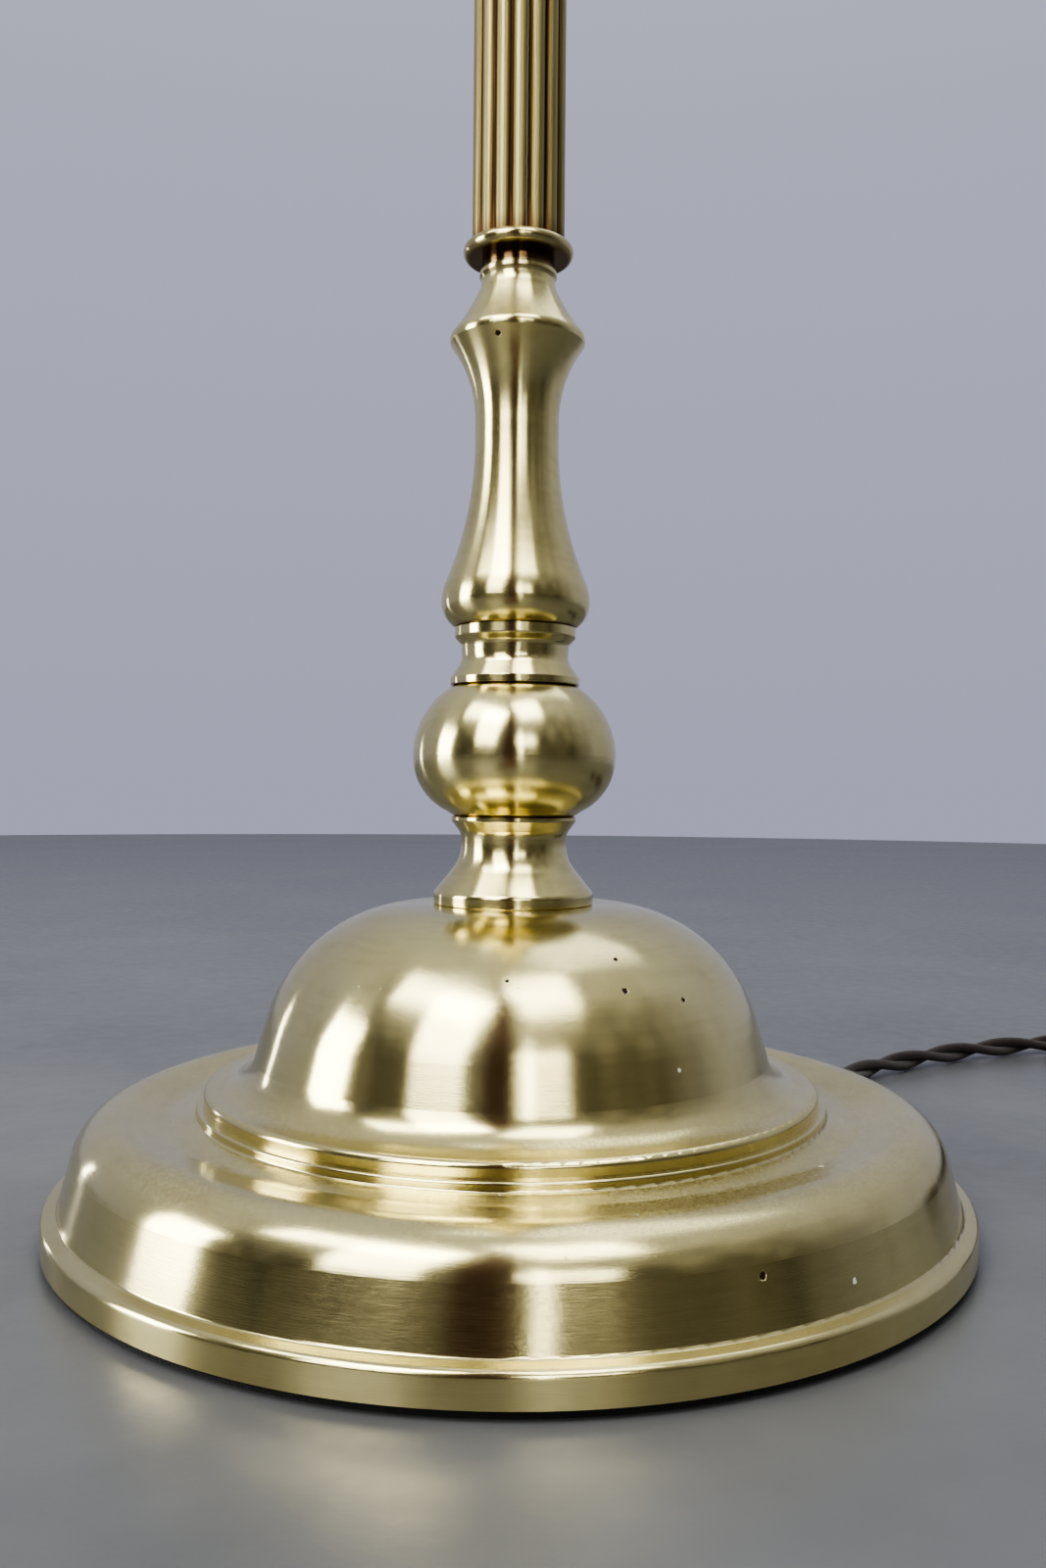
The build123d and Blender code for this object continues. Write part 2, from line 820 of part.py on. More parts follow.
def holder_cap():
    """The lampholder's cap: a threaded entry boss and a bell that carries the switch bar."""
    z = holder_z
    bell = turned(*cap_outline(0), *reversed(cap_outline(holder_wall)))
    boss = rod(cap_entry_radius, z, z + cap_entry_height + holder_wall, tie_radius)
    body = bell + boss
    return body - bar_hole(bar_radius + bar_clearance)


def bar_hole(radius):
    """A round hole along X at the switch bar's height."""
    return Pos(0, 0, holder_z + bar_height) * Rot(0, 90, 0) * Cylinder(radius, 3 * cap_radius)


def holder_insulator():
    """The moulded block that carries the contacts and the switch."""
    radius = cap_radius - holder_wall - insulator_clearance
    block = rod(radius, insulator_z, barrel_z)
    block += rod(barrel_foot_bore_radius - insulator_clearance, barrel_z, barrel_z + insulator_spigot)
    block -= bar_hole(bar_radius + bar_clearance)
    for side in (-1, 1):
        hole = plunger_radius + plunger_clearance
        block -= rod(hole, plunger_seat, barrel_z + 3, place=(0, side * plunger_offset))
        place = (0, side * terminal_offset)
        block -= rod(terminal_radius, insulator_z - 1, insulator_z + terminal_depth, place=place)
    return block


def contact_plunger(side):
    bottom = plunger_bottom
    plunger = rod(plunger_radius, bottom, bottom + plunger_length, place=(0, side * plunger_offset))
    tip = plunger.edges().filter_by(GeomType.CIRCLE).sort_by(Axis.Z)[-1]
    return fillet(tip, 1.2)


def plunger_spring(side):
    """The spring under a plunger, with its end turns closed against its seats."""
    bottom = plunger_seat
    radius = plunger_radius - spring_wire - spring_side_gap
    height = plunger_bottom - bottom - 2 * spring_wire
    helix = Helix(height / spring_turns, height, radius, center=(0, 0, 0))
    section = Plane(origin=helix @ 0, z_dir=helix % 0) * Circle(spring_wire)
    return Pos(0, side * plunger_offset, bottom + spring_wire) * sweep(section, helix, is_frenet=True)


def terminal_posts():
    """The two brass posts that the cores are clamped in."""
    bottom = insulator_z - terminal_drop
    return [
        rod(terminal_radius, bottom, insulator_z + terminal_depth, place=(0, side * terminal_offset))
        for side in (-1, 1)
    ]


def push_bar():
    """The switch bar, pushed through from either side."""
    bar = Rot(0, 90, 0) * Cylinder(bar_radius, bar_length)
    for side in (-1, 1):
        place = side * (bar_length / 2 - bar_button_length / 2)
        button = Pos(place, 0, 0) * Rot(0, 90, 0) * Cylinder(bar_button_radius, bar_button_length)
        bar += fillet(button.edges().filter_by(GeomType.CIRCLE), 0.8)
    return Pos(-bar_travel / 2, 0, holder_z + bar_height) * bar


def lamp_barrel():
    """The bayonet barrel: a flanged tube with two hooked slots for the lamp's pins."""
    z = barrel_z
    flange = cap_radius - holder_wall - insulator_clearance
    foot = barrel_foot_bore_radius
    barrel = turned(
        (foot, z),
        (flange, z),
        (flange, z + holder_wall),
        (foot + barrel_wall, z + holder_wall),
        (foot + barrel_wall, z + barrel_foot_height),
        (barrel_bore_radius + barrel_wall, z + barrel_foot_height + 0.8),
        (barrel_bore_radius + barrel_wall, z + barrel_length),
        (barrel_bore_radius, z + barrel_length),
        (barrel_bore_radius, z + barrel_foot_height),
        (foot, z + barrel_foot_height),
    )
    slot_floor = z + barrel_length - slot_depth
    for turn in (0, 180):
        way_in = Pos(barrel_bore_radius, 0, slot_floor + slot_depth / 2 + 1)
        barrel -= Rot(0, 0, turn) * way_in * Box(6, slot_width, slot_depth + 2)
        for step in range(5):
            angle = turn + slot_sweep * step / 4
            seat = Pos(barrel_bore_radius, 0, slot_floor + slot_width / 2)
            barrel -= Rot(0, 0, angle) * seat * Rot(0, 90, 0) * Cylinder(slot_width / 2, 6)
    return barrel


def shade_sleeve():
    """The outer sleeve, threaded for the shade rings, whose skirt screws onto the cap."""
    z = barrel_z + holder_wall
    skirt = cap_radius + skirt_thickness
    inner = sleeve_radius - sleeve_wall
    return turned(
        (inner, z),
        (cap_radius, z),
        (cap_radius, z - skirt_drop),
        (skirt, z - skirt_drop, 0.5),
        (skirt, z + sleeve_wall, 0.6),
        (sleeve_radius, z + sleeve_wall),
        (sleeve_radius, z + sleeve_length),
        (inner, z + sleeve_length),
    )


def shade_ring(bottom):
    """A ring with finger grips, which clamps a shade's carrier on the sleeve."""
    bore = sleeve_radius + shade_ring_clearance
    ring = rod(shade_ring_radius, bottom, bottom + shade_ring_height, bore)
    for index in range(shade_ring_lobes):
        angle = radians(360 / shade_ring_lobes * index)
        place = (shade_ring_radius * cos(angle), shade_ring_radius * sin(angle))
        ring -= rod(shade_ring_groove, bottom - 1, bottom + shade_ring_height + 1, place=place)
    return ring


def lower_shade_ring():
    return shade_ring(shade_ring_z)


def upper_shade_ring():
    return shade_ring(shade_ring_z + shade_ring_height + shade_ring_gap)


# ---- free lead ----

def coil_centre():
    """The coil lies to the right of the lead's last run, which meets its outer turn at a tangent."""
    last = Vector(*floor_route[-1])
    before = Vector(*floor_route[-2])
    heading = (last - before).normalized()
    return (last.X + heading.Y * coil_outer_turn, last.Y - heading.X * coil_outer_turn)


def at_coil(solid):
    x, y = coil_centre()
    return Pos(x, y, 0) * solid


def cord_lead():
    return tube_along(smooth_path(route_points()), cord_radius)


def cord_coil():
    """The outer shape of the coil: three turns on the floor with two more lying on them."""
    inner = coil_inner_turn - cord_radius
    outer = coil_outer_turn + cord_radius
    return at_coil(turned(
        (inner, floor_gap, 3.5),
        (outer, floor_gap, 3.5),
        (outer, floor_gap + 2 * cord_radius, 4.0),
        (outer - cord_radius, coil_layers_height, 4.0),
        (inner + cord_radius, coil_layers_height, 4.0),
        (inner, floor_gap + 2 * cord_radius, 4.0),
    ))


def tail_direction():
    angle = radians(tail_azimuth)
    return (sin(angle), -cos(angle))


def tail_point(distance, height, bow=0.0):
    """A point along the line on which the tail leaves the coil."""
    x, y = coil_centre()
    angle = radians(tail_azimuth)
    middle_turn = coil_outer_turn - cord_radius
    dx, dy = tail_direction()
    px = x + middle_turn * cos(angle) + distance * dx + bow * dy
    py = y + middle_turn * sin(angle) + distance * dy - bow * dx
    return (px, py, height)


def tail_route():
    return [tail_point(point[0], point[1], bow) for point, bow in zip(tail_points, tail_bow)]


def cord_tail():
    return tube_along(smooth_path(tail_route()), cord_radius)


# ---- plug: it lies on its back with its pins up ----

def on_plug(solid):
    """Moves a piece from the plug's own frame, entry at the origin and pins up, to where it lies."""
    start = tail_route()[-1]
    heading = Vector(*tail_route()[-1]) - Vector(*tail_route()[-2])
    turn = Vector(1, 0, 0).get_signed_angle(Vector(heading.X, heading.Y, 0), Vector(0, 0, 1))
    return Pos(start[0], start[1], floor_gap) * Rot(0, 0, turn) * solid


def plug_profile(inset=0.0):
    """The plug's outline seen from above, narrower at the end where the lead goes in."""
    half = plug_width / 2 - inset
    points = [
        (inset, -half * plug_nose),
        (plug_length * plug_shoulder, -half),
        (plug_length - inset, -half),
        (plug_length - inset, half),
        (plug_length * plug_shoulder, half),
        (inset, half * plug_nose),
    ]
    face = make_face(Polyline(*points, close=True))
    return fillet(face.vertices(), plug_corner - inset)


def lead_entry():
    """Clears the way for the lead into the plug."""
    height = tail_points[-1][1] - floor_gap
    return Pos(6, 0, height) * Rot(0, 90, 0) * Cylinder(cord_radius + cord_hole_clearance, 30)


def plug_cover():
    outside = extrude(plug_profile(), plug_cover_height)
    inside = Pos(0, 0, plug_wall) * extrude(plug_profile(plug_wall), plug_cover_height)
    place = (plug_length / 2, 0)
    post = rod(plug_post_radius, 0, plug_cover_height, plug_screw_hole_radius, place)
    screw_way = rod(plug_screw_hole_radius, -1, plug_cover_height, place=place)
    return on_plug(outside - inside + post - screw_way - lead_entry())


def line_pin_place(side):
    return (plug_length - earth_pin_inset - pin_spacing, side * pin_spacing / 2)


def plug_base():
    bottom = plug_cover_height
    body = Pos(0, 0, bottom) * extrude(plug_profile(), plug_base_height)
    body -= lead_entry()
    for side in (-1, 1):
        x, y = line_pin_place(side)
        body -= Pos(x, y, bottom) * Box(line_pin_size[1], line_pin_size[0], 40)
    earth_place_x = plug_length - earth_pin_inset
    body -= Pos(earth_place_x, 0, bottom) * Box(earth_pin_size[1], earth_pin_size[0], 40)
    body -= rod(plug_screw_radius, bottom - 1, bottom + 4, place=(plug_length / 2, 0))
    return on_plug(body)


def pin(size, x, y, across):
    """A flat pin with a chamfered end, through the plug's base and a little inside it."""
    bottom = plug_cover_height - pin_depth
    top = plug_cover_height + plug_base_height + size[2]
    width, depth = (size[1], size[0]) if across else (size[0], size[1])
    bar = Pos(x, y, (bottom + top) / 2) * Box(width, depth, top - bottom)
    bar = chamfer(bar.faces().sort_by(Axis.Z)[-1].edges(), pin_chamfer)
    return on_plug(bar)


def live_pin():
    x, y = line_pin_place(1)
    return pin(line_pin_size, x, y, True)


def neutral_pin():
    x, y = line_pin_place(-1)
    return pin(line_pin_size, x, y, True)


def earth_pin():
    return pin(earth_pin_size, plug_length - earth_pin_inset, 0, True)


def plug_screw():
    place = (plug_length / 2, 0)
    screw = rod(plug_screw_radius, 1.5, plug_cover_height + 4, place=place)
    head = rod(plug_screw_head_radius, 0.4, 1.5, place=place)
    slot = Pos(place[0], place[1], 0.4) * Box(6, 0.8, 0.8)
    return on_plug(screw + head - slot)


def plug_fuse():
    lies = Pos(plug_length / 2 + 2, pin_spacing / 2 + 1, plug_wall + fuse_radius + 0.5)
    return on_plug(lies * Rot(0, 90, 0) * Cylinder(fuse_radius, fuse_length))


def plug_cord_grip():
    """The bar in the plug that holds the lead's cover."""
    low = tail_points[-1][1] - floor_gap + cord_radius
    bar = Pos(6.5, 0, (low + plug_cover_height) / 2) * Box(5, 20, plug_cover_height - low - 0.1)
    return on_plug(bar)


def coil_tie():
    """The band that holds the coil's turns together."""
    inner = coil_inner_turn - cord_radius
    outer = coil_outer_turn + cord_radius
    grow = tie_band_thickness
    width = outer - inner
    middle = (inner + outer) / 2
    height = coil_layers_height + grow + 0.1
    slack = 0.6
    around = Pos(middle, 0, height / 2 + 0.1) * Box(width + 2 * (grow + slack), tie_band, height)
    hole = Pos(middle, 0, (height - grow) / 2) * Box(width + 2 * slack, tie_band + 2, height - grow + 0.4)
    return at_coil(Rot(0, 0, 200) * (around - hole))


parts = {
    "foot_felt": foot_felt(),
    "base_cover_plate": base_cover_plate(),
    "cover_screws": cover_screws(),
    "ballast_weight": ballast_weight(),
    "base_pan": base_pan(),
    "base_dome": base_dome(),
    "base_washer": base_washer(),
    "base_nut": base_nut(),
    "tie_tube": tie_tube(),
    "cord_bush": cord_bush(),
    "cord_relief": cord_relief(),
    "cord_clamp": cord_clamp(),
    "clamp_screws": clamp_screws(),
    "earth_tag": earth_tag(),
    "earth_screw": earth_screw(),
    "inner_flex": inner_flex(),
    "foot_spool": foot_spool(),
    "ball_knop": ball_knop(),
    "waist_spool": waist_spool(),
    "vase_stem": vase_stem(),
    "neck_ring": neck_ring(),
    "lower_collar": lower_collar(),
    "reeded_column": reeded_column(),
    "upper_collar": upper_collar(),
    "top_cup": top_cup(),
    "lock_nut": lock_nut(),
    "holder_cap": holder_cap(),
    "holder_insulator": holder_insulator(),
    "terminal_posts": terminal_posts(),
    "contact_plunger_left": contact_plunger(-1),
    "contact_plunger_right": contact_plunger(1),
    "plunger_spring_left": plunger_spring(-1),
    "plunger_spring_right": plunger_spring(1),
    "push_bar": push_bar(),
    "lamp_barrel": lamp_barrel(),
    "shade_sleeve": shade_sleeve(),
    "lower_shade_ring": lower_shade_ring(),
    "upper_shade_ring": upper_shade_ring(),
    "cord_lead": cord_lead(),
    "cord_coil": cord_coil(),
    "coil_tie": coil_tie(),
    "cord_tail": cord_tail(),
    "plug_cover": plug_cover(),
    "plug_base": plug_base(),
    "live_pin": live_pin(),
    "neutral_pin": neutral_pin(),
    "earth_pin": earth_pin(),
    "plug_screw": plug_screw(),
    "plug_fuse": plug_fuse(),
    "plug_cord_grip": plug_cord_grip(),
}

os.makedirs("parts", exist_ok=True)
for name, piece in parts.items():
    shape = Compound(children=piece) if isinstance(piece, list) else piece
    export_step(shape, f"parts/{name}.step")
print(len(parts), "pieces; lamp height", round(holder_top, 1))
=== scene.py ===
# %% [markdown]
# # A brass standard lamp, dressed in Blender
# The lamp's shape comes from a packed CAD model, which is loaded here as a fixed frame. Blender never moves
# or changes it. What Blender adds is the camera, the twisted lead, the finishes and the light.
# Everything is in metres, with the floor at height 0 and the lamp's axis on Z.

# %% Load the frame
import json
import math

import bpy
from mathutils import Matrix, Vector


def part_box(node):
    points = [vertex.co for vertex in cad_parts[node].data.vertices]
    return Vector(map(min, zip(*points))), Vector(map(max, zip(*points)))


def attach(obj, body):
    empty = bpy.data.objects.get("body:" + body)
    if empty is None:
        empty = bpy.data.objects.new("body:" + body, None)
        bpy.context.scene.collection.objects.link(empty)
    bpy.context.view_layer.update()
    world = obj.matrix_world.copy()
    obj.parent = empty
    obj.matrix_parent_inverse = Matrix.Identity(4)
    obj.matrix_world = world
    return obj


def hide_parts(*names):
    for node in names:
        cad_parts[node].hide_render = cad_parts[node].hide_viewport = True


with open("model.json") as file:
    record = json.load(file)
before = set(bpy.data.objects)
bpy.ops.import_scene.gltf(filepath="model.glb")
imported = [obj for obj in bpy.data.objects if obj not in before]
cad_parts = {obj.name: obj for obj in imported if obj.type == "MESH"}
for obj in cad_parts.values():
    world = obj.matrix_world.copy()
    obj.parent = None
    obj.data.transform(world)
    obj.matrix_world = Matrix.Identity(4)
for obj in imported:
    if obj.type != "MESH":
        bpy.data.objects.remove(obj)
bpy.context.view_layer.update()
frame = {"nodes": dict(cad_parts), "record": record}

# %% [markdown]
# ## The camera
# A close camera with a short lens sees the base spread out wide and the stem shrink upwards, so the distance
# matters more than the lens. The camera stands less than half a metre from the axis, at the height of the
# ball, and looks level. A level camera keeps upright lines parallel. It is turned by 0.4 of a degree and
# rolled by half a degree, as a hand-held one is.

# %% Camera
camera_distance = 0.4392
camera_height = 0.1434
camera_turn = -0.0069
camera_roll = 0.0083
camera_lens = 29.71
camera_sensor = 36.0
nearest_seen = 0.02
camera_data = bpy.data.cameras.new("camera")
camera_data.lens = camera_lens
camera_data.sensor_width = camera_sensor
camera_data.clip_start = nearest_seen
camera = bpy.data.objects.new("camera", camera_data)
bpy.context.scene.collection.objects.link(camera)
level = Matrix.Rotation(math.pi / 2, 4, "X")
turned = Matrix.Rotation(camera_turn, 4, "Z") @ level @ Matrix.Rotation(camera_roll, 4, "Z")
camera.matrix_world = Matrix.Translation((0, -camera_distance, camera_height)) @ turned
bpy.context.scene.camera = camera
print("camera at", tuple(round(c, 4) for c in camera.location))

# %% [markdown]
# ## The lead's route
# The lead is a fixed length of twisted flex: it leaves the relief in the base straight, drops to the floor,
# and runs in an easy curve to a flat coil of what is spare. One NURBS spline of order 3 has the route's
# points as its control points, so the line is smooth everywhere and never kinks. The order is set after the
# points are added, because before that Blender keeps it at 2.

# %% Points of the route
cord_diameter = 0.0094
cord_exit = (0.1124, 0.1248, 0.0210)
lead_route = [
    cord_exit,
    (0.1271, 0.1412, 0.0205),
    (0.1526, 0.1695, 0.0054),
    (0.1770, 0.1980, 0.0050),
    (0.2090, 0.2225, 0.0050),
    (0.2430, 0.2435, 0.0050),
    (0.2770, 0.2580, 0.0050),
    (0.3060, 0.2658, 0.0050),
]
print("the lead reaches its coil after", len(lead_route), "points")

# %% [markdown]
# ### The coil
# The coil lies on the floor in three turns, one beside the other, and two more lie on them in the grooves.
# A turn keeps its radius for most of the way round and steps in by one diameter over its last eighth, where
# the incoming lead leaves it room. Before the last step the lead climbs onto the lower turns.

# %% Turns of the coil
coil_low, coil_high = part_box("cord_coil")
coil_centre = (coil_low + coil_high) / 2
turn_radii = [0.0618, 0.0524, 0.0430, 0.0477, 0.0571]
turn_heights = [0.0050, 0.0050, 0.0050, 0.0138, 0.0138]
points_per_turn = 16
coil_start = math.radians(99.5)
tail_angle = math.radians(-20.0)
step_share = 0.125
climb_share = 0.25
climbing_turn = 2
corner_cut = 1 / math.cos(math.pi / points_per_turn)


def eased(share):
    """A smooth step from 0 to 1."""
    share = min(max(share, 0.0), 1.0)
    return share * share * (3 - 2 * share)


def coil_point(turn):
    """The route's point after this many turns of the coil."""
    index = min(int(turn), len(turn_radii) - 1)
    after = min(index + 1, len(turn_radii) - 1)
    share = turn - index
    starts = climb_share if index == climbing_turn else step_share
    step = eased((share - 1 + starts) / step_share)
    radius = turn_radii[index] + (turn_radii[after] - turn_radii[index]) * step
    height = turn_heights[index] + (turn_heights[after] - turn_heights[index]) * step
    angle = coil_start - 2 * math.pi * turn
    x = coil_centre.x + radius * corner_cut * math.cos(angle)
    y = coil_centre.y + radius * corner_cut * math.sin(angle)
    return (x, y, height)


whole_turns = len(turn_radii) - 1
turns_in_all = whole_turns + (coil_start - tail_angle) / (2 * math.pi)
coil_steps = int(turns_in_all * points_per_turn)
coil_route = [coil_point(step / points_per_turn) for step in range(coil_steps)]
print("the coil has", round(turns_in_all, 2), "turns and", len(coil_route), "points")

# %% [markdown]
# ### The tail
# The last turn's end leaves the coil along its tangent, dips to the plug's height and goes into the plug.

# %% Tail to the plug
tail_start_radius = turn_radii[-1]
tail_distances = [0.000, 0.024, 0.048, 0.078, 0.082]
tail_heights = [0.0138, 0.0152, 0.0136, 0.0080, 0.0076]
tail_bows = [0.0, 0.0004, 0.0012, 0.0010, 0.0010]


def tail_point(distance, height, bow):
    """A point on the short end between the coil and the plug."""
    along = (math.sin(tail_angle), -math.cos(tail_angle))
    x = coil_centre.x + tail_start_radius * math.cos(tail_angle) + distance * along[0] + bow * along[1]
    y = coil_centre.y + tail_start_radius * math.sin(tail_angle) + distance * along[1] - bow * along[0]
    return (x, y, height)


tail_route = [tail_point(*parts) for parts in zip(tail_distances, tail_heights, tail_bows)]
route = lead_route + coil_route + tail_route
print("the whole route has", len(route), "points")

# %% The spline and its smooth line
spline_order = 3
steps_per_point = 8


def smooth_line(points, name):
    """The line of a NURBS spline that has these control points."""
    curve = bpy.data.curves.new(name, "CURVE")
    curve.dimensions = "3D"
    curve.resolution_u = steps_per_point
    spline = curve.splines.new("NURBS")
    spline.points.add(len(points) - 1)
    for place, point in zip(spline.points, points):
        place.co = (*point, 1.0)
    spline.order_u = spline_order
    spline.use_endpoint_u = True
    holder = bpy.data.objects.new(name, curve)
    bpy.context.scene.collection.objects.link(holder)
    bpy.context.view_layer.update()
    mesh = bpy.data.meshes.new_from_object(holder)
    line = [vertex.co.copy() for vertex in mesh.vertices]
    bpy.data.objects.remove(holder)
    bpy.data.curves.remove(curve)
    bpy.data.meshes.remove(mesh)
    return line


cord_line = smooth_line(route, "lead_route")

# %% [markdown]
# ## The twisted flex
# Two cores, each in its own woven cotton sleeve, are laid round each other with one full twist every 74 mm.
# A plain tube would lose the most telling thing about this lead, which is its rope-like outline. Each core
# is a round tube whose centre circles the route's line. A frame is carried along the line without twisting,
# and the cores turn in that frame by the distance travelled.

# %% Strands
twist_length = 0.074
core_radius = 0.00235
core_sides = 12
ring_spacing = 0.0022


def carried_frames(line):
    """For each point of a line its tangent and a side vector that never twists about it."""
    last = len(line) - 1
    tangents = [(line[min(i + 1, last)] - line[max(i - 1, 0)]).normalized() for i in range(len(line))]
    side = Vector((0, 0, 1)).cross(tangents[0]).normalized()
    frames = []
    for tangent in tangents:
        side = (side - tangent * side.dot(tangent)).normalized()
        frames.append((tangent, side, tangent.cross(side)))
    return frames


def evenly(line, spacing):
    """The same line with its points this far apart."""
    result = [line[0].copy()]
    need = spacing
    for a, b in zip(line, line[1:]):
        length = (b - a).length
        while need <= length:
            result.append(a.lerp(b, need / length))
            need += spacing
        need -= length
    result.append(line[-1].copy())
    return result


def core_rings(line, phase):
    """The centres of one core's rings round the line, and the frame at each centre."""
    frames = carried_frames(line)
    travelled = 0.0
    centres = []
    for i, (point, (_, side, up)) in enumerate(zip(line, frames)):
        if i:
            travelled += (point - line[i - 1]).length
        angle = phase + 2 * math.pi * travelled / twist_length
        centres.append(point + (side * math.cos(angle) + up * math.sin(angle)) * core_radius)
    return centres, carried_frames(centres)


def twisted_cord(name, line):
    """A mesh of two twisted cores, with a UV map in metres along and round each core."""
    vertices, faces, uvs = [], [], []
    for phase in (0.0, math.pi):
        centres, frames = core_rings(line, phase)
        first = len(vertices)
        travelled = 0.0
        along = []
        for i, (centre, (_, side, up)) in enumerate(zip(centres, frames)):
            if i:
                travelled += (centre - centres[i - 1]).length
            along.append(travelled)
            for k in range(core_sides):
                turn = 2 * math.pi * k / core_sides
                vertices.append(centre + (side * math.cos(turn) + up * math.sin(turn)) * core_radius)
        round_step = 2 * math.pi * core_radius / core_sides
        for i in range(len(centres) - 1):
            for k in range(core_sides):
                a = first + i * core_sides + k
                b = first + i * core_sides + (k + 1) % core_sides
                faces.append((a, b, b + core_sides, a + core_sides))
                low, high = k * round_step, (k + 1) * round_step
                uvs.extend([(along[i], low), (along[i], high), (along[i + 1], high), (along[i + 1], low)])
        for ring, order in ((0, -1), (len(centres) - 1, 1)):
            start = first + ring * core_sides
            faces.append(tuple(start + k for k in range(core_sides))[::order])
            uvs.extend([(along[ring], 0.0)] * core_sides)
    mesh = bpy.data.meshes.new(name)
    mesh.from_pydata([tuple(v) for v in vertices], [], faces)
    layer = mesh.uv_layers.new(name="weave")
    for corner, uv in zip(layer.data, uvs):
        corner.uv = uv
    for face in mesh.polygons:
        face.use_smooth = len(face.vertices) == 4
    piece = bpy.data.objects.new(name, mesh)
    bpy.context.scene.collection.objects.link(piece)
    return piece


strand_line = evenly(cord_line, ring_spacing)
lead = twisted_cord("twisted_lead", strand_line)
print("twisted lead:", len(lead.data.polygons), "faces")

# %% [markdown]
# ## The strap round the coil
# A short length of woven tape holds the turns together. It starts as a circle of points, which is squeezed
# to an oval round the bundle and pulled out to the tape's width. Solidify gives it thickness and Bevel
# softens its edges.

# %% Strap


def deselect():
    """Nothing is selected, so an operator acts only on what is chosen next."""
    if bpy.context.object and bpy.context.object.mode != "OBJECT":
        bpy.ops.object.mode_set(mode="OBJECT")
    bpy.ops.object.select_all(action="DESELECT")


def applied(piece):
    """Applies the piece's modifiers and its place, so that the object sits at the origin."""
    deselect()
    piece.select_set(True)
    bpy.context.view_layer.objects.active = piece
    for modifier in list(piece.modifiers):
        bpy.ops.object.modifier_apply(modifier=modifier.name)
    bpy.ops.object.transform_apply(location=True, rotation=True, scale=True)
    return piece


strap_slack = 0.0006
bundle_middle = (turn_radii[0] + turn_radii[2]) / 2
bundle_half_width = (turn_radii[0] - turn_radii[2]) / 2 + cord_diameter / 2 + strap_slack
bundle_height = coil_high.z + strap_slack
strap_width = 0.012
strap_thickness = 0.0009
strap_edge = 0.0003
strap_points = 40
strap_angle = math.radians(200)
sharpest_turn = math.radians(40)
wider, taller = 1.04, 1.06
corner_fullness = 0.35
least_corner = 0.6
deselect()
bpy.ops.mesh.primitive_circle_add(vertices=strap_points, radius=1.0, rotation=(math.pi / 2, 0, 0))
strap = bpy.context.object
strap.name = "coil_strap"
strap.scale = (bundle_half_width * wider, bundle_height / 2 * taller, 1)
applied(strap)
for vertex in strap.data.vertices:
    corner = max(abs(vertex.co.x) / bundle_half_width, least_corner)
    full = abs(vertex.co.z) * (1 + corner_fullness * corner)
    vertex.co.z = math.copysign(min(full, bundle_height / 2), vertex.co.z)
bpy.ops.object.mode_set(mode="EDIT")
bpy.ops.mesh.select_all(action="SELECT")
bpy.ops.transform.translate(value=(0, -strap_width / 2, 0))
bpy.ops.mesh.extrude_region_move(TRANSFORM_OT_translate={"value": (0, strap_width, 0)})
bpy.ops.mesh.select_all(action="SELECT")
bpy.ops.mesh.normals_make_consistent(inside=False)
bpy.ops.object.mode_set(mode="OBJECT")
walls = strap.modifiers.new("thickness", "SOLIDIFY")
walls.thickness = strap_thickness
walls.offset = 0.0
edge = strap.modifiers.new("edge", "BEVEL")
edge.width = strap_edge
edge.segments = 2
applied(strap)
strap_x = coil_centre.x + bundle_middle * math.cos(strap_angle)
strap_y = coil_centre.y + bundle_middle * math.sin(strap_angle)
strap_place = Matrix.Translation((strap_x, strap_y, bundle_height / 2 + strap_thickness))
strap.matrix_world = strap_place @ Matrix.Rotation(strap_angle, 4, "Z")
applied(strap)
bpy.ops.object.shade_smooth_by_angle(angle=sharpest_turn)
print("strap:", len(strap.data.polygons), "faces")

# %% [markdown]
# ## Finishes
# Each finish is a material made of nodes. A few short helpers keep the making readable: one adds a node and
# joins its inputs, one does a sum, and one turns a value into a colour or a grey by a ramp. The same helpers
# build the sky.

# %% Node helpers


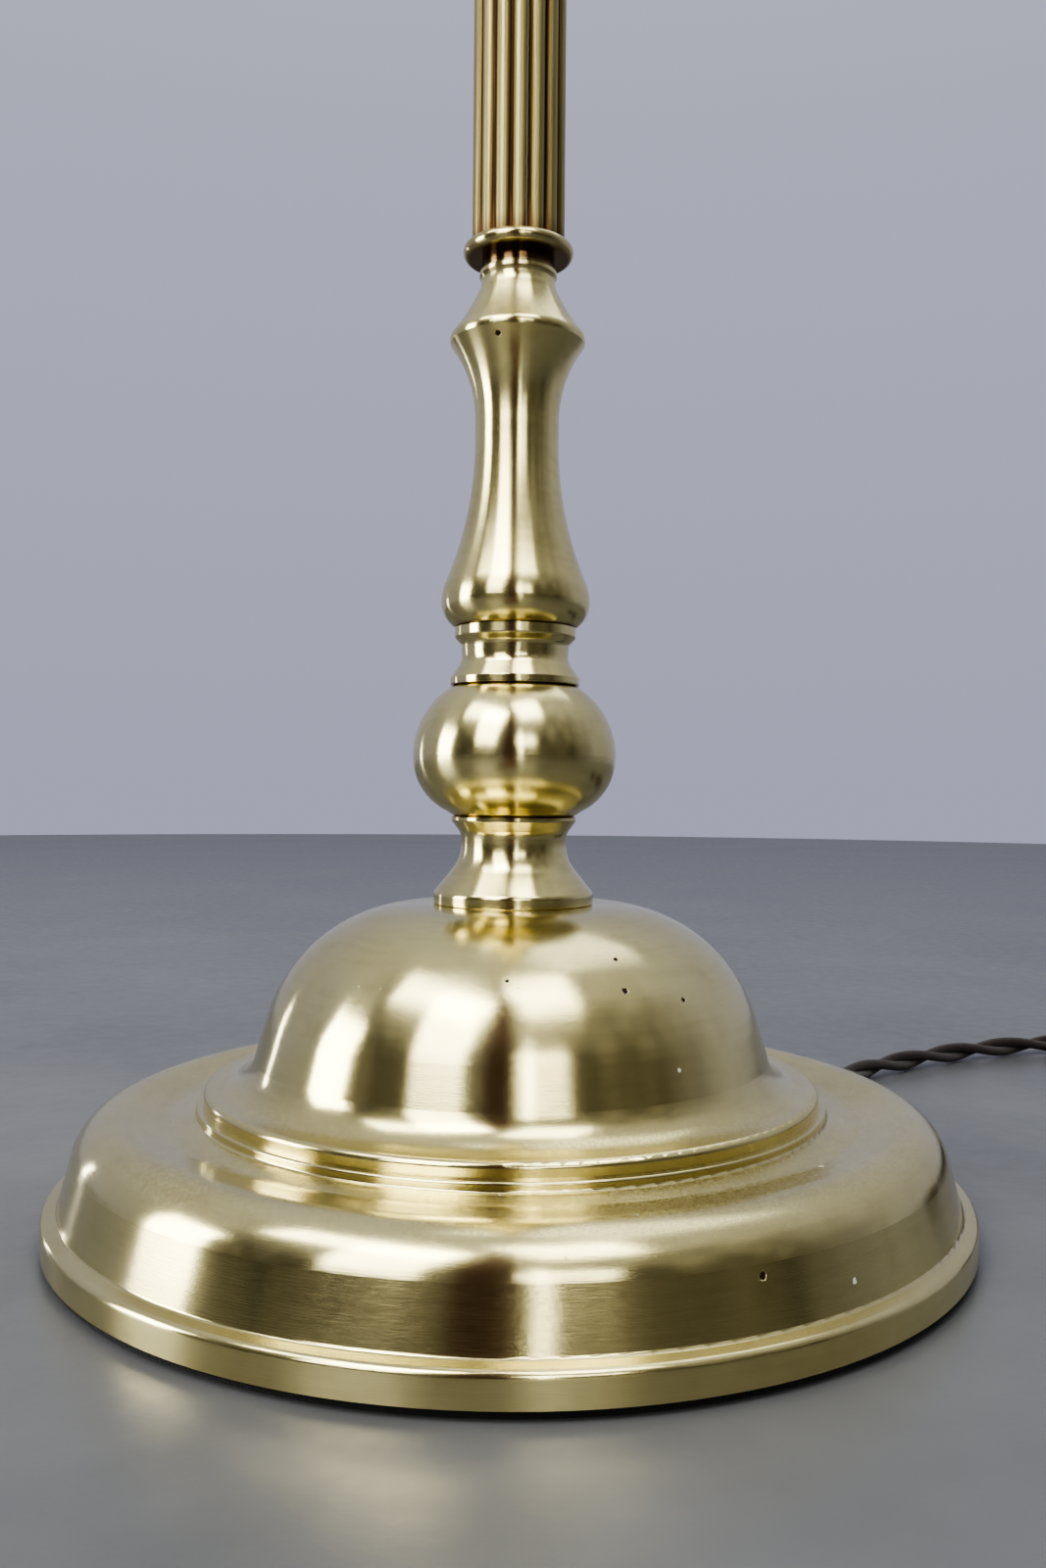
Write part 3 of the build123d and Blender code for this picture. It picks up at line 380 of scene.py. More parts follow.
class Nodes:
    """A node tree under construction, with one helper for each kind of step."""

    def __init__(self, tree):
        self.tree = tree

    def add(self, kind, inputs=None, **settings):
        """Adds a node, sets its properties, and joins or sets its inputs by name or number."""
        node = self.tree.nodes.new(kind)
        for key, value in settings.items():
            setattr(node, key, value)
        for key, value in (inputs or {}).items():
            self.feed(node.inputs[key], value)
        return node

    def feed(self, socket, value):
        """Joins an output to a socket, or sets the socket's own value."""
        if isinstance(value, bpy.types.NodeSocket):
            self.tree.links.new(value, socket)
        else:
            socket.default_value = value

    def sum(self, operation, a, b=0.0, clamp=False):
        """One step of arithmetic."""
        return self.add("ShaderNodeMath", {0: a, 1: b}, operation=operation, use_clamp=clamp).outputs[0]

    def plus(self, a, b, clamp=False):
        """The sum of two values."""
        return self.sum("ADD", a, b, clamp)

    def minus(self, a, b):
        """The first value less the second."""
        return self.sum("SUBTRACT", a, b)

    def times(self, a, b):
        """The product of two values."""
        return self.sum("MULTIPLY", a, b)

    def larger(self, a, b):
        """The larger of two values."""
        return self.sum("MAXIMUM", a, b)

    def below(self, value, limit):
        """1 where the value is below the limit, 0 elsewhere."""
        return self.sum("LESS_THAN", value, limit)

    def gap(self, a, b):
        """How far apart two values are."""
        return self.sum("ABSOLUTE", self.minus(a, b))

    def join(self, x=0.0, y=0.0, z=0.0):
        """A vector of three values."""
        return self.add("ShaderNodeCombineXYZ", {0: x, 1: y, 2: z}).outputs[0]

    def split(self, vector):
        """The three values of a vector."""
        return self.add("ShaderNodeSeparateXYZ", {0: vector}).outputs

    def ramp(self, value, *stops):
        """A colour for each value, blended between stops of (place, colour)."""
        node = self.add("ShaderNodeValToRGB", {0: value})
        band = node.color_ramp
        while len(band.elements) < len(stops):
            band.elements.new(0.5)
        for element, (place, colour) in zip(band.elements, stops):
            element.position = place
            element.color = (*colour, 1)
        return node.outputs[0]

    def fade(self, value, start, end, low=0.0, high=1.0):
        """Runs from low to high as the value goes from start to end."""
        inputs = {"Value": value, "From Min": start, "From Max": end, "To Min": low, "To Max": high}
        return self.add("ShaderNodeMapRange", inputs).outputs[0]

    def blend(self, share, a, b):
        """Mixes two colours."""
        node = self.add("ShaderNodeMix", data_type="RGBA")
        self.feed(node.inputs[0], share)
        self.feed(node.inputs[6], a if isinstance(a, bpy.types.NodeSocket) else (*a, 1))
        self.feed(node.inputs[7], b if isinstance(b, bpy.types.NodeSocket) else (*b, 1))
        return node.outputs[2]

    def noise(self, vector, scale, detail=2.0, roughness=0.5):
        """Soft random patches."""
        inputs = {"Vector": vector, "Scale": scale, "Detail": detail, "Roughness": roughness}
        return self.add("ShaderNodeTexNoise", inputs).outputs[0]

    def cells(self, vector, scale):
        """Random cells: the distance from each cell's middle, and a random colour for each cell."""
        cell = self.add("ShaderNodeTexVoronoi", {"Vector": vector, "Scale": scale})
        chance = self.add("ShaderNodeSeparateColor", {0: cell.outputs["Color"]}).outputs
        return cell.outputs["Distance"], chance

    def place(self):
        """The point on the piece, in metres from the lamp's foot."""
        return self.add("ShaderNodeTexCoord").outputs["Object"]

    def bump(self, height, distance, strength=1.0, under=None):
        """Tilts the surface by a height map whose full depth is this distance."""
        inputs = {"Height": height, "Distance": distance, "Strength": strength}
        if under is not None:
            inputs["Normal"] = under
        return self.add("ShaderNodeBump", inputs).outputs[0]


class Finish(Nodes):
    """A material under construction."""

    def __init__(self, name):
        self.material = bpy.data.materials.new(name)
        self.material.use_nodes = True
        super().__init__(self.material.node_tree)
        self.shader = next(n for n in self.tree.nodes if n.type == "BSDF_PRINCIPLED")

    def show(self, name, value):
        """Joins or sets one of the shader's inputs."""
        self.feed(self.shader.inputs[name], value)


print("node helpers:", sum(callable(helper) for helper in vars(Nodes).values()))

# %% [markdown]
# ### Turned and spun brass
# The pieces were spun or turned, then buffed while they still ran in the lathe, so fine lines run round the
# axis. On such a surface a highlight smears across the lines, up and down the profile. Anisotropy gives that
# smear. Noise that is stretched round the axis gives the lines: it reads the distance from the axis, the
# height and, much slower, the angle.

# %% Round the axis


def round_axis(finish):
    """The distance from the lamp's axis, the angle about it, and the height."""
    x, y, z = finish.split(finish.place())
    out = finish.sum("SQRT", finish.plus(finish.times(x, x), finish.times(y, y)))
    angle = finish.sum("ARCTAN2", y, x)
    return out, angle, z


def round_tangent(finish):
    """The direction round the axis, in which the brushing runs."""
    node = finish.add("ShaderNodeVectorMath", operation="CROSS_PRODUCT")
    finish.feed(node.inputs[0], (0.0, 0.0, 1.0))
    finish.feed(node.inputs[1], finish.place())
    return node.outputs[0]


column_low, column_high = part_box("reeded_column")
print("the turned stem ends", round(column_low.z, 4), "m above the floor")

# %% [markdown]
# ### Marks on the brass
# Brass of this age has a few dark pits, where the casting or the sheet was not quite sound, and a few bright
# specks of lint lie on it. Most pits are scattered by chance: space is cut into random cells, and a small
# share of the cells get a spot. The plainest ones are set at given places.

# %% Pits and specks
pit_cells = 42.0
pit_share = 0.03
pit_size = 0.028
pit_colour = (0.035, 0.018, 0.012)
mark_unevenness = 0.0004
known_pits = [
    (-0.0064, -0.0199, 0.2894, 0.0013),
    (0.0305, -0.0566, 0.0917, 0.0010),
    (0.0327, -0.0646, 0.0837, 0.0013),
    (0.0507, -0.0556, 0.0798, 0.0011),
    (-0.0016, -0.0694, 0.0871, 0.0008),
    (0.0608, -0.1282, 0.0255, 0.0014),
]
known_specks = [
    (0.0867, -0.1144, 0.0191, 0.0011),
    (0.0482, -0.0677, 0.0616, 0.0009),
    (0.0877, -0.0742, 0.0361, 0.0012),
]


def scattered_pits(finish):
    """Sparse dark spots: 1 inside a spot, 0 elsewhere."""
    distance, chance = finish.cells(finish.place(), pit_cells)
    wobble = finish.noise(finish.place(), scale=900.0)
    reach = finish.plus(distance, finish.times(wobble, pit_size * 0.7))
    spot = finish.fade(reach, pit_size * 1.5, pit_size * 1.1)
    return finish.times(spot, finish.below(chance[0], pit_share))


def spots(finish, marks):
    """Round marks at given places: 1 inside a mark, 0 elsewhere. Each mark has its own reach."""
    found = 0.0
    wobble = finish.fade(finish.noise(finish.place(), scale=1400.0), 0.3, 0.7, high=mark_unevenness)
    for x, y, z, reach in marks:
        middle = finish.add("ShaderNodeVectorMath", {0: finish.place(), 1: (x, y, z)}, operation="DISTANCE")
        away = finish.plus(middle.outputs["Value"], wobble)
        found = finish.larger(finish.fade(away, reach, reach * 0.75), found)
    return found


print("placed marks:", len(known_pits), "pits and", len(known_specks), "specks")

# %% [markdown]
# ### Dried polish and painted shade
# Polish stays in the lines where one turned piece stands on the next, and dries brown; these dark lines are
# also painted shade in the joints. A cloth cannot get under the collar at all, so the neck above its bead
# has gone dark, and that dark band is also painted shade under the collar.

# %% Polish and painted shade in the joints
joint_pieces = ("ball_knop", "waist_spool", "vase_stem", "neck_ring", "lower_collar", "top_cup")
joint_lines = [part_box(node)[0].z for node in joint_pieces]
line_reach = 0.0009
line_core = 0.0001
neck_low, neck_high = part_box("neck_ring")
collar_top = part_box("lower_collar")[1].z
neck_tarnish_and_shade = 0.92
collar_tarnish_and_shade = 0.25
# Dark brown of dried polish, used also as painted shade in the joints and under the collar.
polish_and_shade_colour = (0.13, 0.065, 0.030)


def joint_polish_and_shade(finish, z, cloud):
    """How much dried polish, with painted shade in the joints and under the collar, lies at each height."""
    lines = 0.0
    # A dark line at each joint: dried polish, and painted shade between the pieces.
    for line in joint_lines:
        lines = finish.larger(finish.fade(finish.gap(z, line), line_reach, line_core), lines)
    lines = finish.times(lines, finish.fade(cloud, 0.3, 0.6, low=0.15, high=0.50))
    # The neck under the collar: tarnish where no cloth reaches, and painted shade under the collar.
    neck = finish.fade(z, neck_low.z + 0.0015, neck_low.z + 0.0030, high=neck_tarnish_and_shade)
    collar = finish.fade(z, neck_high.z - 0.0001, neck_high.z + 0.0006, low=1.0, high=collar_tarnish_and_shade)
    shade = finish.times(finish.times(neck, collar), finish.below(z, collar_top))
    return finish.larger(lines, shade)


print("joints in the stem at", [round(line, 4) for line in joint_lines])

# %% [markdown]
# ### Dust
# Dust settles on what faces up. It lies thickest on the flat top of the pan, which a duster passes over, and
# is a film of fine grain in broad patches, with a speck here and there.

# %% Dust film
dust_colour = (0.27, 0.26, 0.23)
lint_colour = (0.66, 0.65, 0.60)
pan_top_from, pan_top_full = 0.027, 0.035
pan_top_fades, pan_top_ends = 0.044, 0.060
speck_cells = 210.0
speck_share = 0.06
speck_strength = 0.8


def dust_film(finish, z, dust):
    """How dusty each point is, and the dust's colour there."""
    normal = finish.add("ShaderNodeNewGeometry").outputs["Normal"]
    upward = finish.fade(finish.split(normal)[2], 0.45, 0.95)
    film = finish.fade(finish.noise(finish.place(), scale=900.0, detail=4.0, roughness=0.8), 0.40, 0.95)
    patch = finish.fade(finish.noise(finish.place(), scale=9.0), 0.30, 0.60, low=0.25)
    distance, chance = finish.cells(finish.place(), speck_cells)
    speck = finish.times(finish.fade(distance, 0.13, 0.07), finish.below(chance[1], speck_share))
    pan_top = finish.times(
        finish.fade(z, pan_top_ends, pan_top_fades),
        finish.fade(z, pan_top_from, pan_top_full),
    )
    settled = finish.times(finish.times(upward, finish.fade(pan_top, 0.0, 1.0, low=0.25, high=0.75)), patch)
    haze = finish.times(settled, finish.times(film, dust))
    dusty = finish.larger(haze, finish.times(speck, finish.times(upward, speck_strength)))
    lint = spots(finish, known_specks)
    return finish.larger(dusty, lint), finish.blend(lint, dust_colour, lint_colour)


print("dust lies thickest from", pan_top_full, "to", pan_top_fades, "m above the floor")

# %% [markdown]
# ### The brass itself
# The colour is a pale brass that is a little green where the metal has dulled. Marks, dried polish with
# painted shade in the joints, and dust lie on it in that order. Dust and pits are not metal, so they take
# the metal look away, and both are rough.

# %% Brass
pale_brass = (0.76, 0.685, 0.375)
deep_brass = (0.67, 0.585, 0.285)
dull_brass = (0.40, 0.335, 0.145)
ring_scale = 60.0
ring_turning = 0.35
brushing = 0.85
brushing_turn = 0.25
vase_foot = (0.207, 0.225)
vase_top = 0.35
vase_satin = 0.03
line_depth = 0.00004
pit_depth = 0.0003
wave_depth = 0.0006


def brass_colour(finish, broad, cloud, small_cloud, tarnish):
    """Pale and deep brass in clouds, with dull greenish patches."""
    colour = finish.blend(finish.fade(cloud, 0.35, 0.7), pale_brass, deep_brass)
    clouded = finish.times(finish.plus(small_cloud, broad), 0.5)
    return finish.blend(finish.fade(clouded, 0.48, 0.75, high=tarnish), colour, dull_brass)


def brass_roughness(finish, z, wear, gloss, dusty, pit):
    """Roughness that drifts with the wear, more on the vase, in pits and under dust."""
    worn = finish.fade(wear, 0.3, 0.7, *gloss)
    vase = finish.times(finish.fade(z, *vase_foot), finish.below(z, vase_top))
    worn = finish.plus(worn, finish.times(vase, vase_satin))
    rough = finish.plus(worn, finish.times(dusty, 0.4), clamp=True)
    return finish.plus(rough, finish.times(pit, 0.4), clamp=True)


def brass(name, gloss, lines, tarnish, dust):
    """Buffed brass with lines round the axis. The gloss is its lowest and highest roughness."""
    finish = Finish(name)
    out, angle, z = round_axis(finish)
    slow = finish.times(angle, ring_turning)
    rings = finish.join(finish.times(out, ring_scale), slow, finish.times(z, ring_scale))
    fine = finish.noise(rings, scale=55.0, detail=3.0, roughness=0.65)
    broad = finish.noise(rings, scale=6.0)
    cloud = finish.noise(finish.place(), scale=16.0, detail=4.0, roughness=0.6)
    small_cloud = finish.noise(finish.place(), scale=85.0, detail=3.0, roughness=0.6)
    colour = brass_colour(finish, broad, cloud, small_cloud, tarnish)
    # Dried polish in the joints and under the collar, painted darker there as painted shade too.
    colour = finish.blend(joint_polish_and_shade(finish, z, small_cloud), colour, polish_and_shade_colour)
    pit = finish.larger(scattered_pits(finish), spots(finish, known_pits))
    colour = finish.blend(pit, colour, pit_colour)
    dusty, dust_tone = dust_film(finish, z, dust)
    finish.show("Base Color", finish.blend(dusty, colour, dust_tone))
    covered = finish.larger(finish.times(dusty, 0.8), finish.times(pit, 0.7))
    finish.show("Metallic", finish.minus(1.0, covered))
    wear = finish.plus(finish.times(cloud, 0.6), finish.times(fine, 0.4))
    finish.show("Roughness", brass_roughness(finish, z, wear, gloss, dusty, pit))
    finish.show("Anisotropic", brushing)
    finish.show("Anisotropic Rotation", brushing_turn)
    finish.show("Tangent", round_tangent(finish))
    waves = finish.bump(finish.noise(finish.place(), scale=30.0, detail=1.0), wave_depth, 0.25)
    cut = finish.bump(fine, line_depth, lines, waves)
    finish.show("Normal", finish.bump(finish.minus(1.0, pit), pit_depth, under=cut))
    return finish.material


finishes = {
    "spun_brass": brass("spun_brass_buffed", (0.11, 0.20), lines=0.5, tarnish=0.25, dust=0.75),
    "turned_brass": brass("turned_brass_buffed", (0.12, 0.22), lines=0.5, tarnish=0.30, dust=0.30),
    "lampholder_brass": brass("lampholder_brass_buffed", (0.10, 0.20), lines=0.3, tarnish=0.2, dust=0.2),
}
print("brass finishes:", len(finishes))

# %% [markdown]
# ### Reeded brass
# The column was polished as one piece, so the buff reached the crests of the reeds and left the valleys
# brown. How far a point is from the axis says how deep in a valley it lies. At the foot of each reed, by the
# collar, old polish has dried to a dark arch. The tube was drawn and seamed, and the seam shows as a thin
# bright line that wanders a little.

# %% Reeded column
crest = column_high.x
reed_depth = 0.0012
crest_width = 0.0002
reed_tones = (
    (0.10, (0.060, 0.036, 0.016)),
    (0.40, (0.17, 0.130, 0.055)),
    (0.80, (0.27, 0.222, 0.098)),
    (1.0, (0.40, 0.345, 0.165)),
)
arch_height = 0.016
arch_colour = (0.14, 0.075, 0.035)
seam_angle = math.radians(-80.0)
seam_wander = 0.10
seam_edges = (0.030, 0.012)
seam_colour = (0.80, 0.70, 0.46)


def reed_arch(finish, z, streak, depth):
    """The dark arch of old polish at the foot of each reed."""
    near_foot = finish.fade(z, column_low.z + arch_height, column_low.z + 0.001)
    uneven = finish.times(finish.minus(streak, depth), 0.5)
    return finish.fade(finish.plus(near_foot, uneven), 0.45, 0.9)


def tube_seam(finish, angle, z):
    """The thin line of the tube's seam."""
    wander = finish.noise(finish.join(z=z), scale=60.0, detail=3.0, roughness=0.7)
    seam_at = finish.plus(seam_angle, finish.times(finish.minus(wander, 0.5), seam_wander))
    return finish.fade(finish.gap(angle, seam_at), *seam_edges)


def reeded_brass():
    """Brass whose crests are bright and whose valleys are brown."""
    finish = Finish("reeded_brass_worn")
    out, angle, z = round_axis(finish)
    streak_place = finish.join(finish.times(angle, 12.0), finish.times(z, 9.0), out)
    streak = finish.noise(streak_place, scale=2.5, detail=4.0, roughness=0.6)
    depth = finish.fade(out, crest - reed_depth, crest - crest_width)
    worn = finish.plus(depth, finish.times(finish.minus(streak, 0.5), 0.9))
    colour = finish.ramp(worn, *reed_tones)
    colour = finish.blend(finish.times(reed_arch(finish, z, streak, depth), 0.75), colour, arch_colour)
    colour = finish.blend(finish.times(tube_seam(finish, angle, z), 0.8), colour, seam_colour)
    finish.show("Base Color", colour)
    finish.show("Metallic", 1.0)
    finish.show("Roughness", finish.fade(worn, 0.2, 1.0, low=0.55, high=0.38))
    cloud = finish.noise(finish.place(), scale=70.0, detail=3.0)
    finish.show("Normal", finish.bump(finish.plus(streak, cloud), 0.0002, 0.35))
    return finish.material


finishes["reeded_brass"] = reeded_brass()
print("reeds stand", round(crest, 5), "m from the axis")

# %% [markdown]
# ### Woven cotton cover
# Each core wears a braid of dark brown thread, and the coil's strap is a tape of the same kind. In both,
# threads cross at a slant. Two sets of slanted ridges make diamonds of an even size, and the higher ridge
# wins, as the upper thread does. On the cores the ridges follow the UV map, which is in metres along and
# round the core. Colour drifts between brown and near black.

# %% Braid
weave_sheen = 0.25
weave_roughness = 0.9
thread_depth = 0.0004


def woven(name, thread, dark, light, on_cores):
    """A woven cover of crossing threads. On the cores it follows the UV map, elsewhere the place."""
    finish = Finish(name)
    if on_cores:
        along, across = finish.split(finish.add("ShaderNodeTexCoord").outputs["UV"])[:2]
    else:
        across, _, along = finish.split(finish.place())
    ridges = []
    for way in (-1, 1):
        slanted = finish.plus(along, finish.times(across, way))
        ridges.append(finish.sum("SINE", finish.times(slanted, 2 * math.pi / thread)))
    fluff = finish.noise(finish.place(), scale=2600.0, roughness=0.7)
    height = finish.plus(finish.times(finish.larger(*ridges), 0.5), finish.times(fluff, 0.35))
    drift = finish.noise(finish.place(), scale=60.0)
    share = finish.plus(finish.fade(height, -0.2, 0.8, high=0.7), finish.fade(drift, 0.3, 0.8, high=0.3))
    finish.show("Base Color", finish.blend(share, dark, light))
    finish.show("Roughness", weave_roughness)
    finish.show("Sheen Weight", weave_sheen)
    finish.show("Sheen Roughness", 0.5)
    finish.show("Specular IOR Level", 0.25)
    finish.show("Normal", finish.bump(height, thread_depth, 0.8))
    return finish.material


cotton = ((0.004, 0.003, 0.0028), (0.050, 0.034, 0.028))
tape = ((0.008, 0.007, 0.007), (0.045, 0.040, 0.038))
finishes["braided_cord"] = woven("braided_cotton", 0.0013, *cotton, on_cores=True)
finishes["tie_strap"] = woven("woven_tape", 0.0016, *tape, on_cores=False)
print("finishes so far:", ", ".join(finishes))

# %% [markdown]
# ### Felt
# The ring under the base is black wool felt: very rough, with a short nap that catches a little light at its
# edges. Two scales of noise give the matted fibres.

# %% Felt
felt_dark = (0.004, 0.004, 0.004)
felt_light = (0.030, 0.029, 0.028)
nap_depth = 0.0006


def felt():
    """Matted black wool."""
    finish = Finish("black_felt")
    fibres = finish.noise(finish.place(), scale=700.0, detail=4.0, roughness=0.7)
    clumps = finish.noise(finish.place(), scale=120.0, detail=3.0, roughness=0.6)
    both = finish.plus(finish.times(fibres, 0.6), finish.times(clumps, 0.4))
    finish.show("Base Color", finish.blend(both, felt_dark, felt_light))
    finish.show("Roughness", 0.95)
    finish.show("Sheen Weight", 0.3)
    finish.show("Normal", finish.bump(fibres, nap_depth, 0.9))
    return finish.material


finishes["felt"] = felt()

# %% [markdown]
# ### The plainer finishes
# Plastics, rubber, plated steel, cast iron and ceramic differ in colour, gloss and grain, so one function
# makes them all: patches of two tones, a roughness that drifts, and a fine or coarse grain in relief.

# %% Plain finishes


def plain(name, dark, light, rough, metal=0.0, grain=600.0, depth=0.0001, patches=60.0, coat=0.0):
    """A finish of two near tones with a drifting gloss and a grain."""
    finish = Finish(name)
    patch = finish.noise(finish.place(), patches, detail=4.0, roughness=0.6)
    fine = finish.noise(finish.place(), grain, detail=3.0, roughness=0.6)
    finish.show("Base Color", finish.blend(finish.fade(patch, 0.3, 0.7), dark, light))
    smoothest, roughest = rough * 0.8, min(rough * 1.25, 1.0)
    finish.show("Roughness", finish.fade(finish.plus(patch, fine), 0.6, 1.4, smoothest, roughest))
    finish.show("Metallic", metal)
    finish.show("Coat Weight", coat)
    finish.show("Normal", finish.bump(fine, depth, 0.6))
    return finish.material


plain_looks = {
    "contact_brass": dict(
        name="contact_brass_bright", dark=(0.72, 0.58, 0.30), light=(0.82, 0.70, 0.42),
        rough=0.22, metal=1.0, depth=0.00003,
    ),
    "steel": dict(
        name="plated_steel", dark=(0.42, 0.43, 0.44), light=(0.62, 0.62, 0.62),
        rough=0.32, metal=1.0, depth=0.00004,
    ),
    "spring_steel": dict(
        name="spring_wire", dark=(0.50, 0.50, 0.52), light=(0.66, 0.66, 0.68),
        rough=0.25, metal=1.0, depth=0.00002,
    ),
    "cast_iron": dict(
        name="black_casting", dark=(0.020, 0.020, 0.022), light=(0.065, 0.060, 0.058),
        rough=0.65, metal=0.6, grain=260.0, depth=0.0005,
    ),
    "black_rubber": dict(
        name="matt_rubber", dark=(0.010, 0.010, 0.010), light=(0.024, 0.023, 0.022),
        rough=0.62, depth=0.00008,
    ),
    "fibre": dict(
        name="red_fibre", dark=(0.20, 0.055, 0.030), light=(0.36, 0.11, 0.06),
        rough=0.6, grain=420.0,
    ),
    "plug_plastic": dict(
        name="moulded_black", dark=(0.012, 0.010, 0.009), light=(0.028, 0.023, 0.020),
        rough=0.24, depth=0.00004, coat=0.15,
    ),
    "fuse_ceramic": dict(
        name="glazed_white", dark=(0.70, 0.68, 0.62), light=(0.84, 0.82, 0.77),
        rough=0.2, depth=0.00003, coat=0.3,
    ),
    "switch_plastic": dict(
        name="moulded_dark", dark=(0.020, 0.015, 0.012), light=(0.045, 0.034, 0.027),
        rough=0.25, depth=0.00004, coat=0.15,
    ),
    "insulator_moulding": dict(
        name="glazed_ceramic", dark=(0.68, 0.66, 0.60), light=(0.82, 0.80, 0.74),
        rough=0.22, depth=0.00004, coat=0.3,
    ),
}
for slot_name, look in plain_looks.items():
    finishes[slot_name] = plain(**look)
print("finishes:", len(finishes))

# %% [markdown]
# ## Dressing the lamp
# The packed model says which slot each node wears. Every node gets the finish of its slot, and the two
# pieces that were made here get theirs. The twisted lead stands for the plain tubes and the plain coil of
# the frame.

# %% Dress the nodes
slot_of = {part["node"]: part["material_slot"] for part in frame["record"]["subparts"]}
for node, piece in frame["nodes"].items():
    piece.data.materials.clear()
    piece.data.materials.append(finishes[slot_of[node]])
lead.data.materials.append(finishes["braided_cord"])
strap.data.materials.append(finishes["tie_strap"])
print("dressed", len(frame["nodes"]), "nodes")

# %% Tie the new pieces to the lamp
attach(lead, "lamp")
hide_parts("cord_lead", "cord_coil", "cord_tail")
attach(strap, "lamp")
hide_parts("coil_tie")

# %% [markdown]
# ## The room
# Polished metal shows its surroundings more than itself. The lamp stands on a plain floor under an even sky
# of pale blue grey. The half of the sky behind the camera is dimmer and clouded, as a lived-in room is, so
# the brass has something soft to show between its highlights.

# %% Floor
floor_radius = 3.2
deselect()
bpy.ops.mesh.primitive_circle_add(vertices=96, radius=floor_radius, fill_type="NGON")
floor = bpy.context.object
floor.name = "studio_floor"
floor_dark, floor_light = (0.105, 0.107, 0.108), (0.150, 0.152, 0.153)
floor_finish = plain("pale_floor", floor_dark, floor_light, 0.34, grain=90.0, depth=0.0002, patches=5.0)
floor.data.materials.append(floor_finish)
print("the floor is", 2 * floor_radius, "m across")

# %% Sky
wall_tones = (
    (0.0, (0.330, 0.340, 0.425)),
    (0.45, (0.37, 0.38, 0.46)),
    (0.85, (0.50, 0.51, 0.56)),
)
dim_tones = (
    (0.0, (0.075, 0.070, 0.060)),
    (0.22, (0.11, 0.105, 0.095)),
    (0.60, (0.26, 0.26, 0.26)),
    (0.90, (0.55, 0.55, 0.57)),
)
cloud_stretch = (7.0, 7.0, 2.2)
room_side, camera_side = 0.25, -0.35
sky = bpy.data.worlds.new("studio_sky")
sky.use_nodes = True
room = Nodes(sky.node_tree)
direction = room.add("ShaderNodeTexCoord").outputs["Generated"]
_, toward_room, height = room.split(direction)
wall = room.ramp(height, *wall_tones)
stretched = room.add("ShaderNodeVectorMath", {0: direction, 1: cloud_stretch}, operation="MULTIPLY")
clouds = room.noise(stretched.outputs[0], scale=1.0, detail=3.0, roughness=0.6)
brightness = room.fade(clouds, 0.35, 0.68, low=0.45, high=1.7)
dim = room.add("ShaderNodeVectorMath", operation="SCALE")
room.feed(dim.inputs[0], room.ramp(height, *dim_tones))
room.feed(dim.inputs[3], brightness)
behind_camera = room.fade(toward_room, room_side, camera_side)
room_colour = room.blend(behind_camera, wall, dim.outputs[0])
room.feed(sky.node_tree.nodes["Background"].inputs[0], room_colour)
bpy.context.scene.world = sky
print("the sky has", len(sky.node_tree.nodes), "nodes")

# %% [markdown]
# ### Light panels
# Two window-like panels behind the camera, one each side, and a long one above the left one put the bright
# patches on the dome and the ball. Tall thin panels draw the bright upright lines. The camera never sees a
# panel itself.

# %% Light panels
aim = Vector((0, 0, 0.12))
daylight = (1.0, 0.995, 0.98)
neutral = (1.0, 1.0, 1.0)
sky_blue = (0.94, 0.96, 1.0)


def toward(azimuth, elevation, distance):
    """A point in this direction from the lamp: azimuth 0 is the camera's side, 90 is +X."""
    a, e = math.radians(azimuth), math.radians(elevation)
    return aim + distance * Vector((math.sin(a) * math.cos(e), -math.cos(a) * math.cos(e), math.sin(e)))


def panel(name, azimuth, elevation, distance, width, height, power, tint):
    """A flat light that faces the lamp."""
    data = bpy.data.lights.new(name, "AREA")
    data.shape = "RECTANGLE"
    data.size, data.size_y = width, height
    data.energy = power
    data.color = tint
    light = bpy.data.objects.new(name, data)
    bpy.context.scene.collection.objects.link(light)
    light.location = toward(azimuth, elevation, distance)
    light.rotation_euler = (aim - light.location).to_track_quat("-Z", "Y").to_euler()
    light.visible_camera = False
    return light


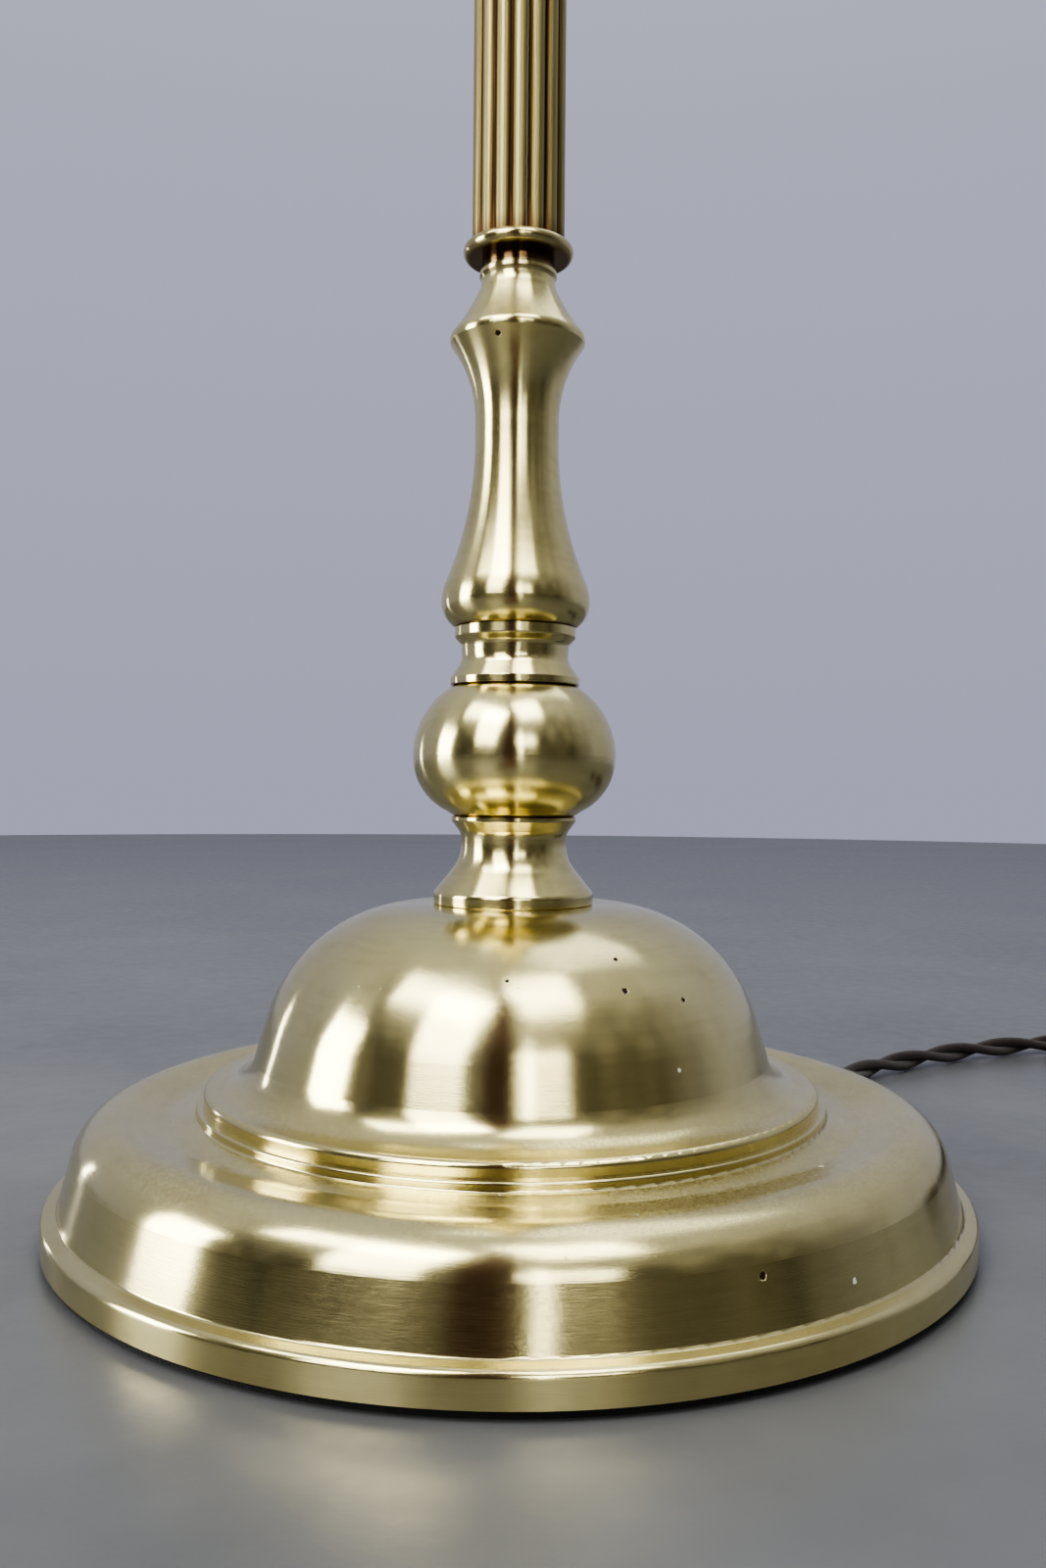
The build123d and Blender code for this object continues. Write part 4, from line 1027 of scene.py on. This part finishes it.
panels = [
    panel("window_left", -33, 38, 2.4, 0.95, 2.0, 27, daylight),
    panel("skylight_left", -50, 56, 2.4, 1.75, 0.75, 19, daylight),
    panel("window_right_high", 26, 64, 2.4, 0.95, 1.1, 15, daylight),
    panel("window_right_low", 13.5, 20, 2.4, 0.85, 0.42, 5.0, daylight),
    panel("window_far_left", -84, 12, 2.4, 0.78, 1.25, 23, neutral),
    panel("gleam_left", -128, 2, 2.4, 0.10, 0.5, 1.1, neutral),
    panel("gleam_right", 7.0, 14, 2.2, 0.05, 1.4, 2.0, neutral),
    panel("overhead", 150, 66, 2.6, 1.5, 1.5, 8, sky_blue),
]
print("lights:", len(panels))

# %% [markdown]
# ### Dark cloth and painted shadow mat
# A dark cloth hangs between the two windows, and a dark mat lies on the floor below it as a painted shadow
# of the shade on the floor near the camera. They keep a dark stripe in the middle of the brass, without
# which it looks like plated plastic. Neither is seen by the camera. The mat is there only for what looks
# down at it: from below, rays pass through it, so the floor under it stays as bright as the rest.

# %% Cloth and painted shadow mat
cloth_tones = {"dark": (0.030, 0.012, 0.009), "light": (0.10, 0.035, 0.025)}
cloth_weave = {"rough": 0.9, "grain": 300.0, "patches": 4.0}


def dark_plane(name, material_name, scale, location):
    """A plane of dark cloth that the camera does not see."""
    deselect()
    bpy.ops.mesh.primitive_plane_add(size=1.0)
    sheet = bpy.context.object
    sheet.name = name
    sheet.scale = (*scale, 1)
    sheet.location = location
    sheet.visible_camera = False
    sheet.data.materials.append(plain(material_name, **cloth_tones, **cloth_weave))
    return sheet


def open_from_below(material):
    """Lets rays through the back of a surface."""
    nodes = Nodes(material.node_tree)
    front = material.node_tree.nodes["Principled BSDF"].outputs[0]
    through = nodes.add("ShaderNodeBsdfTransparent").outputs[0]
    behind = nodes.add("ShaderNodeNewGeometry").outputs["Backfacing"]
    both = nodes.add("ShaderNodeMixShader", {0: behind, 1: front, 2: through}).outputs[0]
    nodes.feed(material.node_tree.nodes["Material Output"].inputs[0], both)


cloth = dark_plane("dark_cloth", "dark_red_cloth", (0.30, 2.6), (-0.15, -1.35, 1.3))
cloth.rotation_euler = (math.pi / 2, 0, math.radians(-6))
# The mat is a painted shadow: a dark sheet on the floor where shade falls near the camera, seen only in the
# brass.
mat = dark_plane("painted_shadow_mat", "painted_shadow_cloth", (0.16, 1.0), (-0.045, -0.86, 0.002))
mat.visible_shadow = False
mat.visible_diffuse = False
open_from_below(mat.data.materials[0])
for sheet in (cloth, mat):
    print(sheet.name, "at", tuple(round(c, 2) for c in sheet.location))

# %% [markdown]
# ## The look
# The view takes AgX's high-contrast look.

# %% The view's look
bpy.context.scene.view_settings.look = "AgX - High Contrast"
